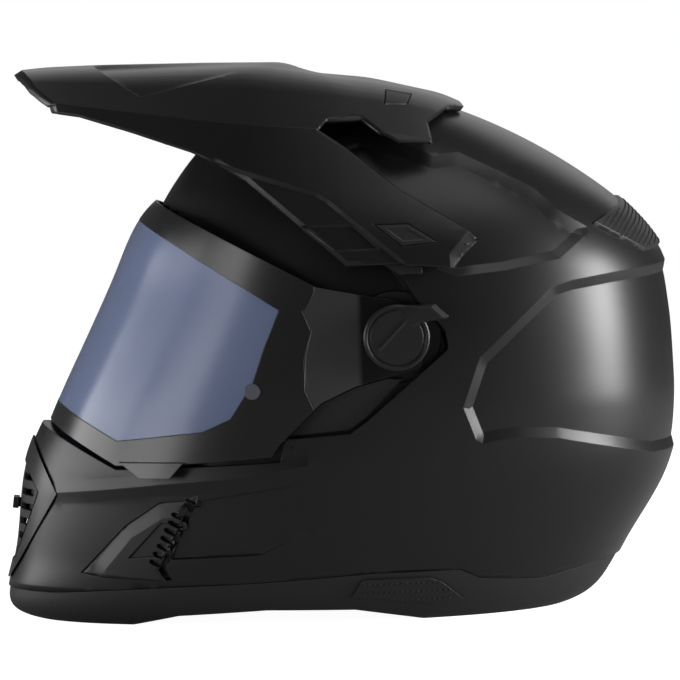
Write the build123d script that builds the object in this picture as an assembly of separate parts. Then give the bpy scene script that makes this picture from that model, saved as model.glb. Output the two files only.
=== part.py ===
"""Dual sport helmet: hard shell with chin bar, hinged shield, quick-release levers, peak and lining.

The helmet faces -X, its left side is -Y and it stands on its lower rim at Z = 0. Lengths are in millimetres.
Outlines seen from the side are shares of half the shell's length (X) and of the shell's height (Z).
"""
from build123d import *
import os
from functools import cache
from math import copysign, cos, hypot, pi, sin

# Driving sizes of the helmet
shell_length = 376.0
shell_width = 250.0
shell_height = 287.0
shell_wall = 4.5
style_step = 2.0
nest_gap = 0.3
seam = 0.5
overrun = 60.0

# The shell: for each level, the shares of height, front, rear and half width
shell_level_shares = [
    (0.0, -0.925, 0.655, 0.72), (0.042, -0.995, 0.755, 0.78), (0.125, -0.965, 0.835, 0.865),
    (0.225, -0.945, 0.93, 0.93), (0.295, -0.925, 0.97, 0.97), (0.375, -0.87, 0.985, 0.99),
    (0.45, -0.785, 0.985, 1.0), (0.56, -0.695, 0.97, 1.0), (0.66, -0.605, 0.925, 0.97),
    (0.745, -0.545, 0.82, 0.905), (0.82, -0.478, 0.68, 0.8), (0.89, -0.39, 0.51, 0.65),
    (0.945, -0.275, 0.33, 0.475), (0.973, -0.15, 0.17, 0.285), (0.989, -0.045, 0.06, 0.1)]
widest_share = 0.16
middle_share = 0.55
front_full_share = 0.584
rear_full_share = 0.64
temple_drop = 6.6
brow_drop = 1.6
chin_ledge = 8.0
ledge_top_share = 0.4
recess_shares = [
    (0.16, 0.635), (0.19, 0.6), (0.265, 0.545), (0.275, 0.51), (0.045, 0.383), (-0.008, 0.358),
    (-0.19, 0.3505), (-0.205, 0.308), (-0.665, 0.295),
    (-0.865, 0.365), (-1.145, 0.455), (-1.145, 1.15), (-0.16, 1.15), (-0.04, 0.87), (0.075, 0.71)]
eye_port_shares = [
    (-1.145, 1.045), (-0.14, 0.617), (-0.195, 0.525), (-0.265, 0.362), (-0.3, 0.35), (-0.65, 0.332),
    (-0.83, 0.395), (-1.145, 0.495)]
rim_shares = [
    (-1.3, 0.055), (-0.85, 0.06), (-0.72, 0.067), (-0.525, 0.075), (-0.27, 0.082), (0.055, 0.095),
    (0.3, 0.095), (0.36, 0.075), (0.535, 0.066), (0.7, 0.085), (1.3, 0.12), (1.3, -0.2), (-1.3, -0.2)]
flank_shares = [
    (0.1, 0.88), (0.15, 0.89), (0.26, 0.86), (0.33, 0.865), (0.54, 0.795), (0.6, 0.755), (0.7, 0.715),
    (0.6, 0.665), (0.44, 0.648), (0.3, 0.64), (0.23, 0.655)]
rear_panel_shares = [
    (0.36, 0.49), (0.48, 0.56), (0.575, 0.615), (0.635, 0.625), (0.76, 0.635), (1.2, 0.655), (1.2, 0.285),
    (0.875, 0.29), (0.75, 0.31), (0.58, 0.335), (0.47, 0.34), (0.415, 0.338), (0.35, 0.33), (0.31, 0.4)]
lower_step_shares = [
    (-1.2, 0.235), (-0.81, 0.26), (-0.525, 0.27), (-0.31, 0.28), (-0.12, 0.3), (-0.1, 0.27),
    (0.2, 0.27), (0.35, 0.225), (0.42, 0.2), (0.3, 0.1), (-0.4, 0.09), (-0.44, 0.1), (-0.34, 0.27),
    (-0.36, 0.27), (-0.8, 0.25), (-1.2, 0.225)]

# The shield: its pivot, its lens and the levels of its outer face
pivot_x_share = 0.128
pivot_z_share = 0.533
shield_width = 245.0
lens_wall = 2.2
lens_seat = 0.2
shield_full_share = 0.652
shield_rear_share = 0.8
shield_level_shares = [
    (0.25, -0.925), (0.31, -0.895), (0.375, -0.852), (0.41, -0.828), (0.49, -0.768), (0.58, -0.7),
    (0.66, -0.643), (0.742, -0.582), (0.78, -0.532), (0.84, -0.44)]
shield_shares = [
    (-1.145, 1.04), (-0.515, 0.78), (-0.09, 0.628), (0.045, 0.61), (0.128, 0.6), (0.2, 0.575),
    (0.225, 0.533), (0.195, 0.475), (0.01, 0.445), (-0.085, 0.417), (-0.205, 0.342), (-0.23, 0.32),
    (-0.485, 0.308), (-0.665, 0.305), (-0.85, 0.375), (-1.145, 0.46)]
window_shares = [
    (-1.145, 0.985), (-0.555, 0.74), (-0.195, 0.588), (-0.24, 0.52), (-0.275, 0.455), (-0.34, 0.39),
    (-0.42, 0.367), (-0.66, 0.35), (-0.81, 0.405), (-1.145, 0.505)]
arm_shares = [
    (-0.085, 0.7), (-0.1, 0.62), (-0.13, 0.585), (-0.11, 0.55), (-0.13, 0.5), (-0.13, 0.44), (-0.09, 0.38),
    (-0.09, 0.3), (0.4, 0.3), (0.4, 0.7)]
insert_wall = 1.2
insert_gap = 0.4
insert_margin = 4.0
pin_radius = 4.2
pin_x_share = -0.277
pin_z_share = 0.44
pin_proud = 0.5
tab_shares = [(-0.655, 0.312), (-0.6, 0.283), (-0.515, 0.283), (-0.475, 0.312)]
tab_proud = 2.5
tab_side = 40.0
shield_swing = 38.0

# The shield's pivots and their quick-release levers
base_radius = 24.0
base_wall = 1.4
pocket_depth = 1.6
boss_radius = 9.0
boss_height = 7.3
turning_gap = 0.05
disc_radius = 17.4
disc_face = 131.0
disc_gap = 0.3
stub_radius = 3.5
stub_length = 3.0
lever_shares = [(0.13, 0.608), (0.228, 0.608), (0.275, 0.582), (0.27, 0.565), (0.2, 0.52)]
lever_wall = 4.6
groove_depth = 0.8
disc_rim = 1.6
slash_shares = [(0.077, 0.515), (0.166, 0.572)]
slash_wide = 1.4

# The peak: for each station, the shares of X, top, crease and flank
peak_wall = 3.0
peak_station_shares = [
    (-0.96, 1.037, 0.5, 0.995, 0.53, 0.93, 0.55, 0.86), (-0.84, 1.045, 0.6, 0.978, 0.64, 0.91, 0.67, 0.84),
    (-0.675, 1.047, 0.68, 0.965, 0.74, 0.89, 0.79, 0.82), (-0.372, 1.046, 0.79, 0.935, 0.89, 0.8, 0.945, 0.72),
    (-0.133, 1.043, 0.85, 0.92, 0.995, 0.76, 1.045, 0.63), (-0.064, 1.022, 0.85, 0.917, 1.015, 0.73, 1.045, 0.63),
    (0.106, 1.009, 0.82, 0.91, 1.032, 0.72, 1.045, 0.63), (0.32, 0.974, 0.75, 0.885, 1.018, 0.72, 1.045, 0.63),
    (0.45, 0.925, 0.69, 0.855, 1.0, 0.72, 1.045, 0.63)]
arch_share = 0.5
arch_drop_share = 0.14
peak_cut_shares = [
    (-1.2, 0.3), (-1.2, 0.99), (-0.8, 0.957), (-0.735, 0.95), (-0.595, 0.92), (-0.425, 0.88), (-0.355, 0.857),
    (-0.28, 0.826), (-0.125, 0.735), (-0.008, 0.665), (0.145, 0.665), (0.295, 0.655), (0.383, 0.705),
    (0.377, 0.72), (0.36, 0.722), (0.315, 0.737), (0.15, 0.805), (0.015, 0.878), (-0.068, 0.916),
    (-0.04, 0.934), (0.06, 0.934), (0.11, 0.906), (0.155, 0.888), (0.255, 0.885), (0.245, 0.918),
    (0.25, 0.937), (0.3, 0.945), (0.385, 0.9), (0.385, 1.2), (0.6, 1.2), (0.6, 0.3)]
peak_front_shares = [
    (-0.926, 0.0), (-0.924, 0.1), (-0.912, 0.26), (-0.875, 0.42), (-0.81, 0.55), (-0.735, 0.64),
    (-0.6, 0.85), (-0.3, 1.2), (0.6, 1.2)]
top_pocket_shares = [(-0.669, 1.031), (-0.563, 0.983), (-0.287, 1.023)]
pocket_centre_gap = 8.0
peak_pocket = 1.2
badge_shares = [(0.075, 0.74), (0.17, 0.74), (0.25, 0.705), (0.15, 0.7)]
arm_panel_shares = [(-0.13, 0.742), (0.018, 0.742), (0.092, 0.695), (-0.04, 0.693)]
wing_ridge_shares = [
    (-0.4, 0.872), (-0.327, 0.855), (-0.08, 0.803), (-0.048, 0.789), (0.146, 0.679), (0.17, 0.655),
    (0.17, 0.6), (-0.4, 0.6)]
wing_step = 0.6
tip_facet_shares = [(0.282, 0.684), (0.335, 0.723)]
tip_face_share = 1.027
tip_facet_wide = 8.0
tip_facet_drop = 1.9
plug_shares = [(0.13, 0.957), (0.14, 0.983), (0.215, 0.973), (0.195, 0.955)]
badge_proud = 0.4
peak_pivot_x_share = 0.149
peak_pivot_z_share = 0.684
mount_shares = [(0.095, 0.668), (0.14, 0.648), (0.205, 0.648), (0.205, 0.71), (0.068, 0.712)]
mount_gap = 0.3
wing_share = 1.036
screw_bite = 3.5
screw_reach = 1.7
screw_radius = 3.0

# Vents, trims and lining
mouth_shares = [(-1.2, 0.4), (-0.905, 0.345), (-0.835, 0.245), (-0.985, 0.075), (-1.2, 0.03)]
mesh_shares = [(-1.2, 0.33), (-0.93, 0.297), (-0.89, 0.245), (-0.968, 0.11), (-1.2, 0.07)]
vent_pocket = 2.6
vent_floor = 2.3
frame_proud = 1.2
mesh_proud = 0.2
louvre_count = 6
louvre_pitch = 8.0
louvre_high = 3.6
louvre_side = 34.0
louvre_tilt = 8.0
slider_wide = 14.0
slider_high = 6.0
slider_proud = 3.2
slider_neck = 4.0
slider_plate = 1.2
slider_travel = 8.0
slider_gap = 1.0
slider_z_share = 0.215
slider_x_share = -0.948
louvre_base_share = 0.13
louvre_margin = 3.0
mesh_ledge = 2.0
tooth_floor = 1.1
scoop_shares = [
    (-0.775, 0.1), (-0.645, 0.19), (-0.545, 0.235), (-0.435, 0.24), (-0.445, 0.225), (-0.535, 0.11),
    (-0.515, 0.088), (-0.72, 0.093)]
scoop_proud = 0.6
scoop_panel_shares = [(-0.661, 0.136), (-0.541, 0.216), (-0.488, 0.212), (-0.534, 0.142)]
tooth_count = 7
tooth_wide = 2.2
tooth_long = 9.0
side_plate_shares = [
    (-0.205, 0.352), (-0.085, 0.42), (0.015, 0.45), (0.17, 0.472), (0.045, 0.388), (-0.008, 0.363)]
side_plate_wall = 3.0
plate_gap = 0.6
heel_radius = 21.5
rear_vent_shares = [
    (0.67, 0.745), (0.715, 0.765), (0.84, 0.775), (0.98, 0.69), (0.93, 0.675), (0.86, 0.66)]
rear_vent_wall = 3.0
rear_vent_wide = 124.0
vent_rib_count = 5
vent_rib_pitch = 20.0
vent_rib_wide = 4.0
trim_inset = 1.2
trim_wall = 8.0
arch_shares = [(-0.7, -0.01), (-0.5, 0.018), (-0.25, 0.027), (0.0, 0.023), (0.28, -0.01)]
gasket_wall = 3.0
gasket_proud = 0.8
insert_plate_shares = [(-0.01, 0.05), (0.02, 0.082), (0.21, 0.082), (0.25, 0.07), (0.31, 0.035), (0.235, 0.03)]
insert_plate_proud = 1.5
head_level_shares = [
    (-0.04, -0.32, 0.56, 0.58), (0.17, -0.33, 0.66, 0.6), (0.35, -0.34, 0.72, 0.62), (0.49, -0.34, 0.735, 0.63),
    (0.63, -0.31, 0.71, 0.605), (0.73, -0.225, 0.64, 0.51), (0.795, -0.08, 0.49, 0.36), (0.83, 0.08, 0.33, 0.17)]
head_full_share = 0.55
liner_wall = 9.0
eps_cut_shares = [
    (-1.2, 1.07), (-0.15, 0.632), (-0.21, 0.525), (-0.28, 0.36), (-0.36, 0.34), (0.32, 0.34), (0.4, 0.17),
    (1.2, 0.17), (1.2, -0.1), (-1.2, -0.1)]
liner_cut_shares = [
    (-1.2, 1.07), (-0.15, 0.655), (-0.19, 0.525), (-0.25, 0.375), (-0.36, 0.36), (0.33, 0.36), (0.42, 0.2),
    (1.2, 0.2), (1.2, -0.1), (-1.2, -0.1)]
chin_liner_wall = 18.0
chin_liner_shares = [(-1.2, 0.085), (-0.44, 0.095), (-0.44, 0.3), (-0.66, 0.31), (-0.85, 0.355), (-1.2, 0.45)]
guard_wall = 2.0
guard_shares = [(-1.2, 0.26), (-0.58, 0.26), (-0.62, 0.34), (-0.72, 0.4), (-1.2, 0.425)]
curtain_wall = 1.6
curtain_z_share = 0.035
curtain_x_share = -0.58
pad_centre_shares = (-0.045, 0.76, 0.218)
pad_length = 124.0
pad_depth = 60.0
pad_height = 67.0
pad_full_share = 0.71
pad_station_shares = [(-0.5, 0.84), (-0.2, 0.98), (0.1, 1.0), (0.32, 0.93), (0.44, 0.78), (0.5, 0.5)]
roll_centre_x_share = 0.16
roll_reach_x = 97.0
roll_reach_y = 83.0
roll_radius = 15.0
roll_z_share = 0.088
roll_turn = 1.25
roll_steps = 8
roll_sides = 10
roll_end_share = 0.6
strap_x_share = -0.12
strap_wide = 22.0
strap_wall = 1.8
anchor_inner_share = 0.66
anchor_size = (26.0, 12.0, 9.0)
strap_top_share = 0.055
strap_sag = 9.0
strap_steps = 8
ring_wire = 1.6
ring_long = 28.0
ring_wide = 15.0
ring_pitch = 1.9
ring_corner = 4.0

half_length = shell_length / 2
half_width = shell_width / 2
temple_side = half_width - temple_drop
pivot_x = pivot_x_share * half_length
pivot_z = pivot_z_share * shell_height
wing_inner = wing_share * half_width - peak_wall


def outline(shares):
    """Points of a side view outline, from their shares."""
    return [(x * half_length, z * shell_height) for x, z in shares]


def signed_area(points):
    """Twice the area inside a closed outline, positive when it runs anticlockwise."""
    return sum(a[0] * b[1] - b[0] * a[1] for a, b in zip(points, points[1:] + points[:1]))


def grow(points, distance):
    """A closed outline moved outwards by a distance, with mitred corners."""
    side = copysign(1, signed_area(points))
    moved = []
    for index, (x, z) in enumerate(points):
        normals = []
        for start, end in ((points[index - 1], points[index]), (points[index], points[(index + 1) % len(points)])):
            run = hypot(end[0] - start[0], end[1] - start[1])
            normals.append((side * (end[1] - start[1]) / run, -side * (end[0] - start[0]) / run))
        across = (normals[0][0] + normals[1][0], normals[0][1] + normals[1][1])
        share = 2 / (across[0] ** 2 + across[1] ** 2)
        moved.append((x + across[0] * share * distance, z + across[1] * share * distance))
    return moved


def side_prism(points, near=None, far=None):
    """A side view outline drawn out along Y, by default right through the helmet."""
    if near is None:
        near, far = -half_width - overrun, half_width + overrun
    wire = Wire.make_polygon([(x, near, z) for x, z in points], close=True)
    return extrude(Face(wire), amount=far - near, dir=(0, 1, 0))


def layer(outer, inner, prism):
    """The sheet between two nested forms, inside a side view outline."""
    return (outer & prism) - inner


def both_sides(piece):
    """A left-hand piece joined by its mirror image."""
    return [piece, mirror(piece, about=Plane.XZ)]


def level_face(z, front, rear, half, front_share, rear_share):
    """A level of a rounded form: four smooth quarters, fuller than an ellipse by their shares."""
    middle = min(widest_share * half_length, front + middle_share * (rear - front))
    quarters = []
    for reach, share in ((front - middle, front_share), (rear - middle, rear_share)):
        for side in (-half, half):
            quarters.append(Edge.make_bezier((middle + reach, 0, z), (middle + reach, side * share, z),
                                             (middle + reach * share, side, z), (middle, side, z)))
    return Face(Wire(quarters))


def shell_level(level, inset):
    """The height, front, rear and half width of one level of the shell, set in from its face."""
    z, front, rear, half = level
    length = half_length - inset
    return z * (shell_height - inset), front * length, rear * length, half * (half_width - inset)


@cache
def shell_form(inset):
    """The shell's full face, set in by a distance: smooth outside, in straight bands where the wall hides it."""
    faces = [level_face(*shell_level(level, inset), front_full_share, rear_full_share)
             for level in shell_level_shares]
    return loft(faces, ruled=inset >= shell_wall)


@cache
def temple_form(inset):
    """The lower face under the shield, set in by a distance."""
    faces = []
    for level in shell_level_shares[2:]:
        z, front, rear, half = shell_level(level, inset)
        height_share = level[0]
        drop = chin_ledge if height_share < ledge_top_share else brow_drop
        shrink = 1 - temple_drop / half_width
        faces.append(level_face(z - brow_drop, front + drop, rear - brow_drop, half * shrink,
                                front_full_share, rear_full_share))
    return loft(faces, ruled=inset >= shell_wall)


@cache
def stepped_form(inset):
    """The shell's face with the lower face under the shield, set in by a distance."""
    recess = side_prism(grow(outline(recess_shares), inset))
    return shell_form(inset) - (recess - temple_form(inset))


@cache
def shield_form(inset):
    """The shield's outer face, set in by a distance."""
    faces = []
    for z, front in shield_level_shares:
        faces.append(level_face(z * shell_height, front * half_length + inset, shield_rear_share * half_length,
                                shield_width / 2 - inset, shield_full_share, rear_full_share))
    return loft(faces)


def head_form(growth):
    """The wearer's head with room for the neck, grown by a distance."""
    faces = []
    for z, front, rear, half in head_level_shares:
        faces.append(level_face(z * (shell_height + growth), front * half_length - growth,
                                rear * half_length + growth, half * half_width + growth,
                                head_full_share, head_full_share))
    return loft(faces, ruled=True)


def peak_section(station, inset):
    """The peak's arched section, through foot, flank, crease, shoulder and crown, set in by a distance."""
    _, top, crease_y, crease_z, flank_y, flank_z, foot_y, foot_z = station
    shoulder_z = top - arch_drop_share * (top - crease_z)
    shares = [(0.0, top), (arch_share * crease_y, shoulder_z), (crease_y, crease_z), (flank_y, flank_z),
              (foot_y, foot_z)]
    points = [(y * half_width, z * shell_height) for y, z in shares]
    return grow([(-y, z) for y, z in points[::-1]] + points[1:], -inset)


def peak_block(inset):
    """The solid under the peak's outer face, set in by a distance."""
    faces = []
    for station in peak_station_shares:
        points = peak_section(station, inset)
        if inset > 0:
            points[0] = (points[0][0], points[0][1] - 2 * inset)
            points[-1] = (points[-1][0], points[-1][1] - 2 * inset)
        x = station[0] * half_length
        faces.append(Face(Wire.make_polygon([(x, y, z) for y, z in points], close=True)))
    return loft(faces, ruled=True)


def rod(x, z, radius, near, far):
    """A round bar along Y between two values of Y."""
    bottom = (Align.CENTER, Align.CENTER, Align.MIN)
    return Plane(origin=(x, near, z), z_dir=(0, 1, 0)) * Cylinder(radius, far - near, align=bottom)


def make_outer_shell():
    """The hard shell with its eye port, mouth vent, side scoops and pivot pockets."""
    style = side_prism(outline(flank_shares)) + side_prism(outline(rear_panel_shares))
    style += side_prism(outline(lower_step_shares))
    shell = stepped_form(0) - (style - shell_form(style_step)) - stepped_form(shell_wall)
    shell -= side_prism(outline(eye_port_shares))
    shell -= side_prism(outline(rim_shares))
    pockets = side_prism(outline(mouth_shares)) + side_prism(outline(scoop_shares))
    shell -= pockets - shell_form(vent_pocket)
    shell -= side_prism(grow(outline(mesh_shares), -mesh_ledge))
    room_wide, room_high = slider_wide + 2 * slider_gap, slider_high + slider_travel + 2 * slider_gap
    shell -= slider_place() * Pos(0, 0, -slider_travel / 2) * Box(4 * shell_wall, room_wide, room_high)
    floor = temple_side - pocket_depth
    for near, far in ((-half_width - overrun, -floor), (floor, half_width + overrun)):
        shell -= rod(pivot_x, pivot_z, base_radius + nest_gap, near, far)
    return shell


def make_eps_liner():
    """The energy-absorbing foam shell, nested in the hard shell."""
    foam = stepped_form(shell_wall + nest_gap) - head_form(liner_wall + nest_gap)
    return foam - side_prism(outline(eps_cut_shares))


def make_comfort_liner():
    """The soft crown lining, nested in the foam shell."""
    return head_form(liner_wall) - head_form(0) - side_prism(outline(liner_cut_shares))


def make_chin_liner():
    """The foam lining of the chin bar."""
    outer = shell_wall + nest_gap
    area = side_prism(outline(chin_liner_shares))
    return layer(stepped_form(outer), shell_form(outer + chin_liner_wall), area)


def make_breath_guard():
    """The thin guard that stands behind the top of the chin bar."""
    outer = shell_wall + 2 * nest_gap + chin_liner_wall
    return layer(shell_form(outer), shell_form(outer + guard_wall), side_prism(outline(guard_shares)))


def make_bottom_trim():
    """The rubber rim that closes the shell's lower edge and that the helmet stands on."""
    below = side_prism(grow(outline(rim_shares), -nest_gap))
    ring = layer(shell_form(trim_inset), shell_form(trim_inset + trim_wall), below)
    return ring - side_prism(outline(arch_shares))


def make_chin_curtain():
    """The cloth that closes the space under the chin."""
    z = curtain_z_share * shell_height
    x = curtain_x_share * half_length
    block = Pos(x - overrun, 0, z) * Box(2 * overrun, shell_width, curtain_wall)
    return shell_form(trim_inset + trim_wall + nest_gap) & block


def make_cheek_pad():
    """A crowned cheek pad, cut by the inner face of the shell."""
    x_share, y_share, z_share = pad_centre_shares
    faces = []
    for reach_share, size_share in pad_station_shares:
        half = size_share * pad_length / 2
        faces.append(level_face(reach_share * pad_depth, -half, half, size_share * pad_height / 2,
                                pad_full_share, pad_full_share))
    place = Pos(x_share * half_length, -y_share * half_width, z_share * shell_height) * Rot(-90, 0, 0)
    return place * loft(faces, ruled=True) & stepped_form(shell_wall + 2 * nest_gap)


def make_neck_roll():
    """The round padded collar behind the neck."""
    faces = []
    for step in range(roll_steps + 1):
        turn = roll_turn * (2 * step / roll_steps - 1)
        middle = Vector(roll_centre_x_share * half_length + roll_reach_x * cos(turn), roll_reach_y * sin(turn),
                        roll_z_share * shell_height)
        end_share = roll_end_share if step in (0, roll_steps) else 1
        flats = RegularPolygon(roll_radius * end_share, roll_sides)
        place = Plane(origin=middle, x_dir=(cos(turn), sin(turn), 0), z_dir=(-sin(turn), cos(turn), 0))
        faces.append(place * flats)
    return loft(faces, ruled=True) & shell_form(trim_inset + trim_wall + nest_gap)


def make_gasket():
    """The rubber bead round the eye port."""
    port = outline(eye_port_shares)
    band = layer(temple_form(-gasket_proud), temple_form(shell_wall), side_prism(grow(port, -nest_gap)))
    return band - side_prism(grow(port, -nest_gap - gasket_wall))


def make_mouth_frame():
    """The bright frame round the mouth vent."""
    area = side_prism(grow(outline(mouth_shares), -nest_gap))
    return layer(shell_form(-frame_proud), shell_form(vent_floor), area) - side_prism(outline(mesh_shares))


def slider_place():
    """The place of the vent slider on the front of the chin."""
    return Pos(slider_x_share * half_length, 0, slider_z_share * shell_height) * Rot(0, louvre_tilt, 0)


def make_mouth_mesh():
    """The louvred cover of the mouth vent, with the slot that its slider runs in."""
    area = side_prism(grow(outline(mesh_shares), -nest_gap))
    cover = layer(shell_form(-mesh_proud), shell_form(vent_floor), area)
    bar = 2 * slider_wide
    for row in range(louvre_count):
        z = louvre_base_share * shell_height + row * louvre_pitch
        for side in (-1, 1):
            wide = louvre_side - slider_wide / 2 - louvre_margin
            y = side * (slider_wide / 2 + louvre_margin + wide / 2)
            cover -= Pos(slider_x_share * half_length, y, z) * Box(bar, wide, louvre_high)
    slot = Box(bar, slider_neck + 2 * seam, slider_high + slider_travel)
    return cover - slider_place() * Pos(0, 0, -slider_travel / 2) * slot


def make_vent_slider():
    """The finger slider of the mouth vent: a knob outside, a neck through the slot and a plate behind."""
    face = mesh_proud + seam
    back = vent_floor + slider_gap
    knob = Pos(-face - slider_proud / 2, 0, 0) * Box(slider_proud, slider_wide, slider_high)
    neck = Pos((back - face) / 2, 0, 0) * Box(back + face + 2 * slider_plate, slider_neck, slider_high - 2 * seam)
    plate = Pos(back + slider_plate / 2, 0, 0) * Box(slider_plate, slider_wide, slider_high)
    return slider_place() * (knob + neck + plate)


def make_side_scoop():
    """The toothed insert of the scoop beside the mouth."""
    scoop = outline(scoop_shares)
    area = side_prism(grow(scoop, -nest_gap), -half_width - overrun, 0)
    plate = layer(shell_form(-scoop_proud), shell_form(vent_floor), area)
    start, end = scoop[4], scoop[5]
    run = hypot(end[0] - start[0], end[1] - start[1])
    along = ((end[0] - start[0]) / run, (end[1] - start[1]) / run)
    inward = (along[1], -along[0])
    slots = Part()
    for tooth in range(tooth_count):
        middle = (tooth + 0.5) / tooth_count * run
        corners = []
        for far, wide in ((1, -1), (1, 1), (2 * tooth_long / tooth_wide, 1), (2 * tooth_long / tooth_wide, -1)):
            reach = far * tooth_wide / 2
            shift = middle + wide * tooth_wide / 2
            corners.append((start[0] + along[0] * shift + inward[0] * reach,
                            start[1] + along[1] * shift + inward[1] * reach))
        slots += side_prism(corners, -half_width - overrun, 0)
    slots += side_prism(outline(scoop_panel_shares), -half_width - overrun, 0)
    return plate - (slots - shell_form(vent_floor - tooth_floor))


def make_side_plate():
    """The trim plate below the shield, in front of its pivot."""
    area = side_prism(grow(outline(side_plate_shares), -seam), -half_width - overrun, 0)
    area -= side_prism(grow(outline(shield_shares), plate_gap), -half_width - overrun, 0)
    area -= rod(pivot_x, pivot_z, heel_radius + plate_gap, -half_width - overrun, 0)
    return layer(temple_form(-nest_gap - side_plate_wall), temple_form(-nest_gap), area)


def make_rear_vent():
    """The ribbed exhaust vent at the back of the crown."""
    wide = rear_vent_wide / 2
    area = side_prism(outline(rear_vent_shares), -wide, wide)
    vent = layer(shell_form(-nest_gap - rear_vent_wall), shell_form(-nest_gap), area)
    for gap in range(vent_rib_count):
        y = (gap - (vent_rib_count - 1) / 2) * vent_rib_pitch
        groove = Pos(half_length, y, rear_vent_shares[0][1] * shell_height)
        groove *= Box(shell_length / 2, vent_rib_pitch - vent_rib_wide, shell_height / 2)
        vent -= groove - shell_form(-nest_gap - rear_vent_wall / 2)
    return vent


def make_insert_plate():
    """The textured plate on the lower rim."""
    area = side_prism(outline(insert_plate_shares), -half_width - overrun, 0)
    outer = trim_inset - nest_gap - insert_plate_proud
    return layer(shell_form(outer), shell_form(trim_inset - nest_gap), area)


def make_pivot_base():
    """The plate and boss that the shield turns on."""
    inner = temple_side - pocket_depth
    plate = rod(pivot_x, pivot_z, base_radius, -inner - base_wall, -inner)
    boss_end = inner + base_wall + boss_height
    boss = rod(pivot_x, pivot_z, boss_radius, -boss_end, -inner)
    bore = rod(pivot_x, pivot_z, stub_radius + turning_gap, -boss_end, -boss_end + stub_length)
    return plate + boss - bore


def make_lever():
    """The quick-release disc and lever that hold the shield on."""
    inner = temple_side - pocket_depth + base_wall + boss_height + disc_gap
    disc = rod(pivot_x, pivot_z, disc_radius, -disc_face, -inner)
    lever = side_prism(outline(lever_shares), -disc_face, -disc_face + lever_wall)
    stub = rod(pivot_x, pivot_z, stub_radius, -inner, -inner + stub_length)
    dish = rod(pivot_x, pivot_z, disc_radius - disc_rim, -disc_face, -disc_face + groove_depth)
    (start_x, start_z), (end_x, end_z) = outline(slash_shares)
    long = hypot(end_x - start_x, end_z - start_z)
    rise = (slash_wide / 2 * (start_z - end_z) / long, slash_wide / 2 * (end_x - start_x) / long)
    slash = [(start_x - rise[0], start_z - rise[1]), (end_x - rise[0], end_z - rise[1]),
             (end_x + rise[0], end_z + rise[1]), (start_x + rise[0], start_z + rise[1])]
    return disc - dish + lever + stub - side_prism(slash, -disc_face, -disc_face + 2 * groove_depth)


def make_shield():
    """The shield's frame with its lift tab, its two arms, its window, the insert behind it and the pins."""
    body = layer(shield_form(0), shield_form(lens_wall), side_prism(outline(shield_shares)))
    window = outline(window_shares)
    arm = outline(arm_shares)
    frame = body - side_prism(window) - side_prism(arm)
    area = side_prism(outline(tab_shares), -half_width - overrun, -tab_side)
    frame += layer(shield_form(-tab_proud), shield_form(lens_wall), area)
    arms = body & side_prism(grow(arm, -seam))
    arms -= rod(pivot_x, pivot_z, boss_radius + turning_gap, -half_width - overrun, half_width + overrun)
    left_arm = arms & (Pos(0, -half_width, pivot_z) * Box(shell_length, shell_width, shell_length))
    area = side_prism(grow(window, -lens_seat))
    lens = layer(shield_form(lens_seat), shield_form(lens_wall - lens_seat), area)
    insert_face = lens_wall + insert_gap
    area = side_prism(grow(window, -insert_margin))
    insert = layer(shield_form(insert_face), shield_form(insert_face + insert_wall), area)
    place = (pin_x_share * half_length, pin_z_share * shell_height)
    hole = rod(*place, pin_radius + turning_gap, -half_width - overrun, half_width + overrun)
    pins = rod(*place, pin_radius, -half_width - overrun, half_width + overrun)
    pins &= shield_form(-pin_proud) - shield_form(insert_face + insert_wall)
    return frame - hole, left_arm, lens - hole, insert - hole, pins


def make_peak():
    """The peak with its pockets, and the plain badge and the plug of its left side."""
    face = peak_block(0)
    skin = face - peak_block(peak_wall)
    plan = [(x * half_length, y * half_width, 0) for x, y in peak_front_shares]
    plan += [(x, -y, 0) for x, y, _ in plan[:0:-1]]
    skin &= extrude(Face(Wire.make_polygon(plan, close=True)), amount=2 * shell_height, dir=(0, 0, 1))
    skin -= side_prism(outline(peak_cut_shares))
    floor = peak_block(peak_pocket)
    pieces = []
    for shares in (badge_shares, plug_shares):
        hollow = side_prism(outline(shares)) - floor
        skin -= hollow
        fill = side_prism(grow(outline(shares), -nest_gap), -half_width - overrun, 0)
        pieces.append(layer(peak_block(-badge_proud), peak_block(peak_pocket - nest_gap), fill))
    skin -= side_prism(outline(arm_panel_shares)) - floor
    for near, far in ((-half_width - overrun, -pocket_centre_gap), (pocket_centre_gap, half_width + overrun)):
        skin -= side_prism(outline(top_pocket_shares), near, far) - floor
    skin -= side_prism(outline(wing_ridge_shares)) - peak_block(wing_step)
    for facet in both_sides(tip_wedge()):
        skin -= facet
    screw = (peak_pivot_x_share * half_length, peak_pivot_z_share * shell_height)
    socket = wing_inner + screw_reach + nest_gap
    skin -= rod(*screw, screw_radius + turning_gap, -socket, socket)
    return skin, pieces[0], pieces[1]


def tip_wedge():
    """What is cut from the tip of the left wing, to leave its slanting facet."""
    (start_x, start_z), (end_x, end_z) = outline(tip_facet_shares)
    run = hypot(end_x - start_x, end_z - start_z)
    along = Vector((end_x - start_x) / run, 0, (end_z - start_z) / run)
    across = Vector(along.Z, 0, -along.X) * tip_facet_wide
    face = -tip_face_share * half_width
    start = Vector(start_x, face, start_z) - along * run
    corners = [start, start + across + Vector(0, tip_facet_drop, 0), start + across - Vector(0, overrun, 0),
               start - Vector(0, overrun, 0)]
    return extrude(Face(Wire.make_polygon(corners, close=True)), amount=3 * run, dir=along)


def make_peak_mount():
    """The bracket on the shell that the peak's side wing turns on."""
    block = side_prism(outline(mount_shares), -wing_inner + mount_gap, 0)
    block = (block & peak_block(peak_wall + mount_gap)) - shell_form(-nest_gap)
    screw = (peak_pivot_x_share * half_length, peak_pivot_z_share * shell_height)
    return block - rod(*screw, screw_radius, -half_width - overrun, 0)


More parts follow.
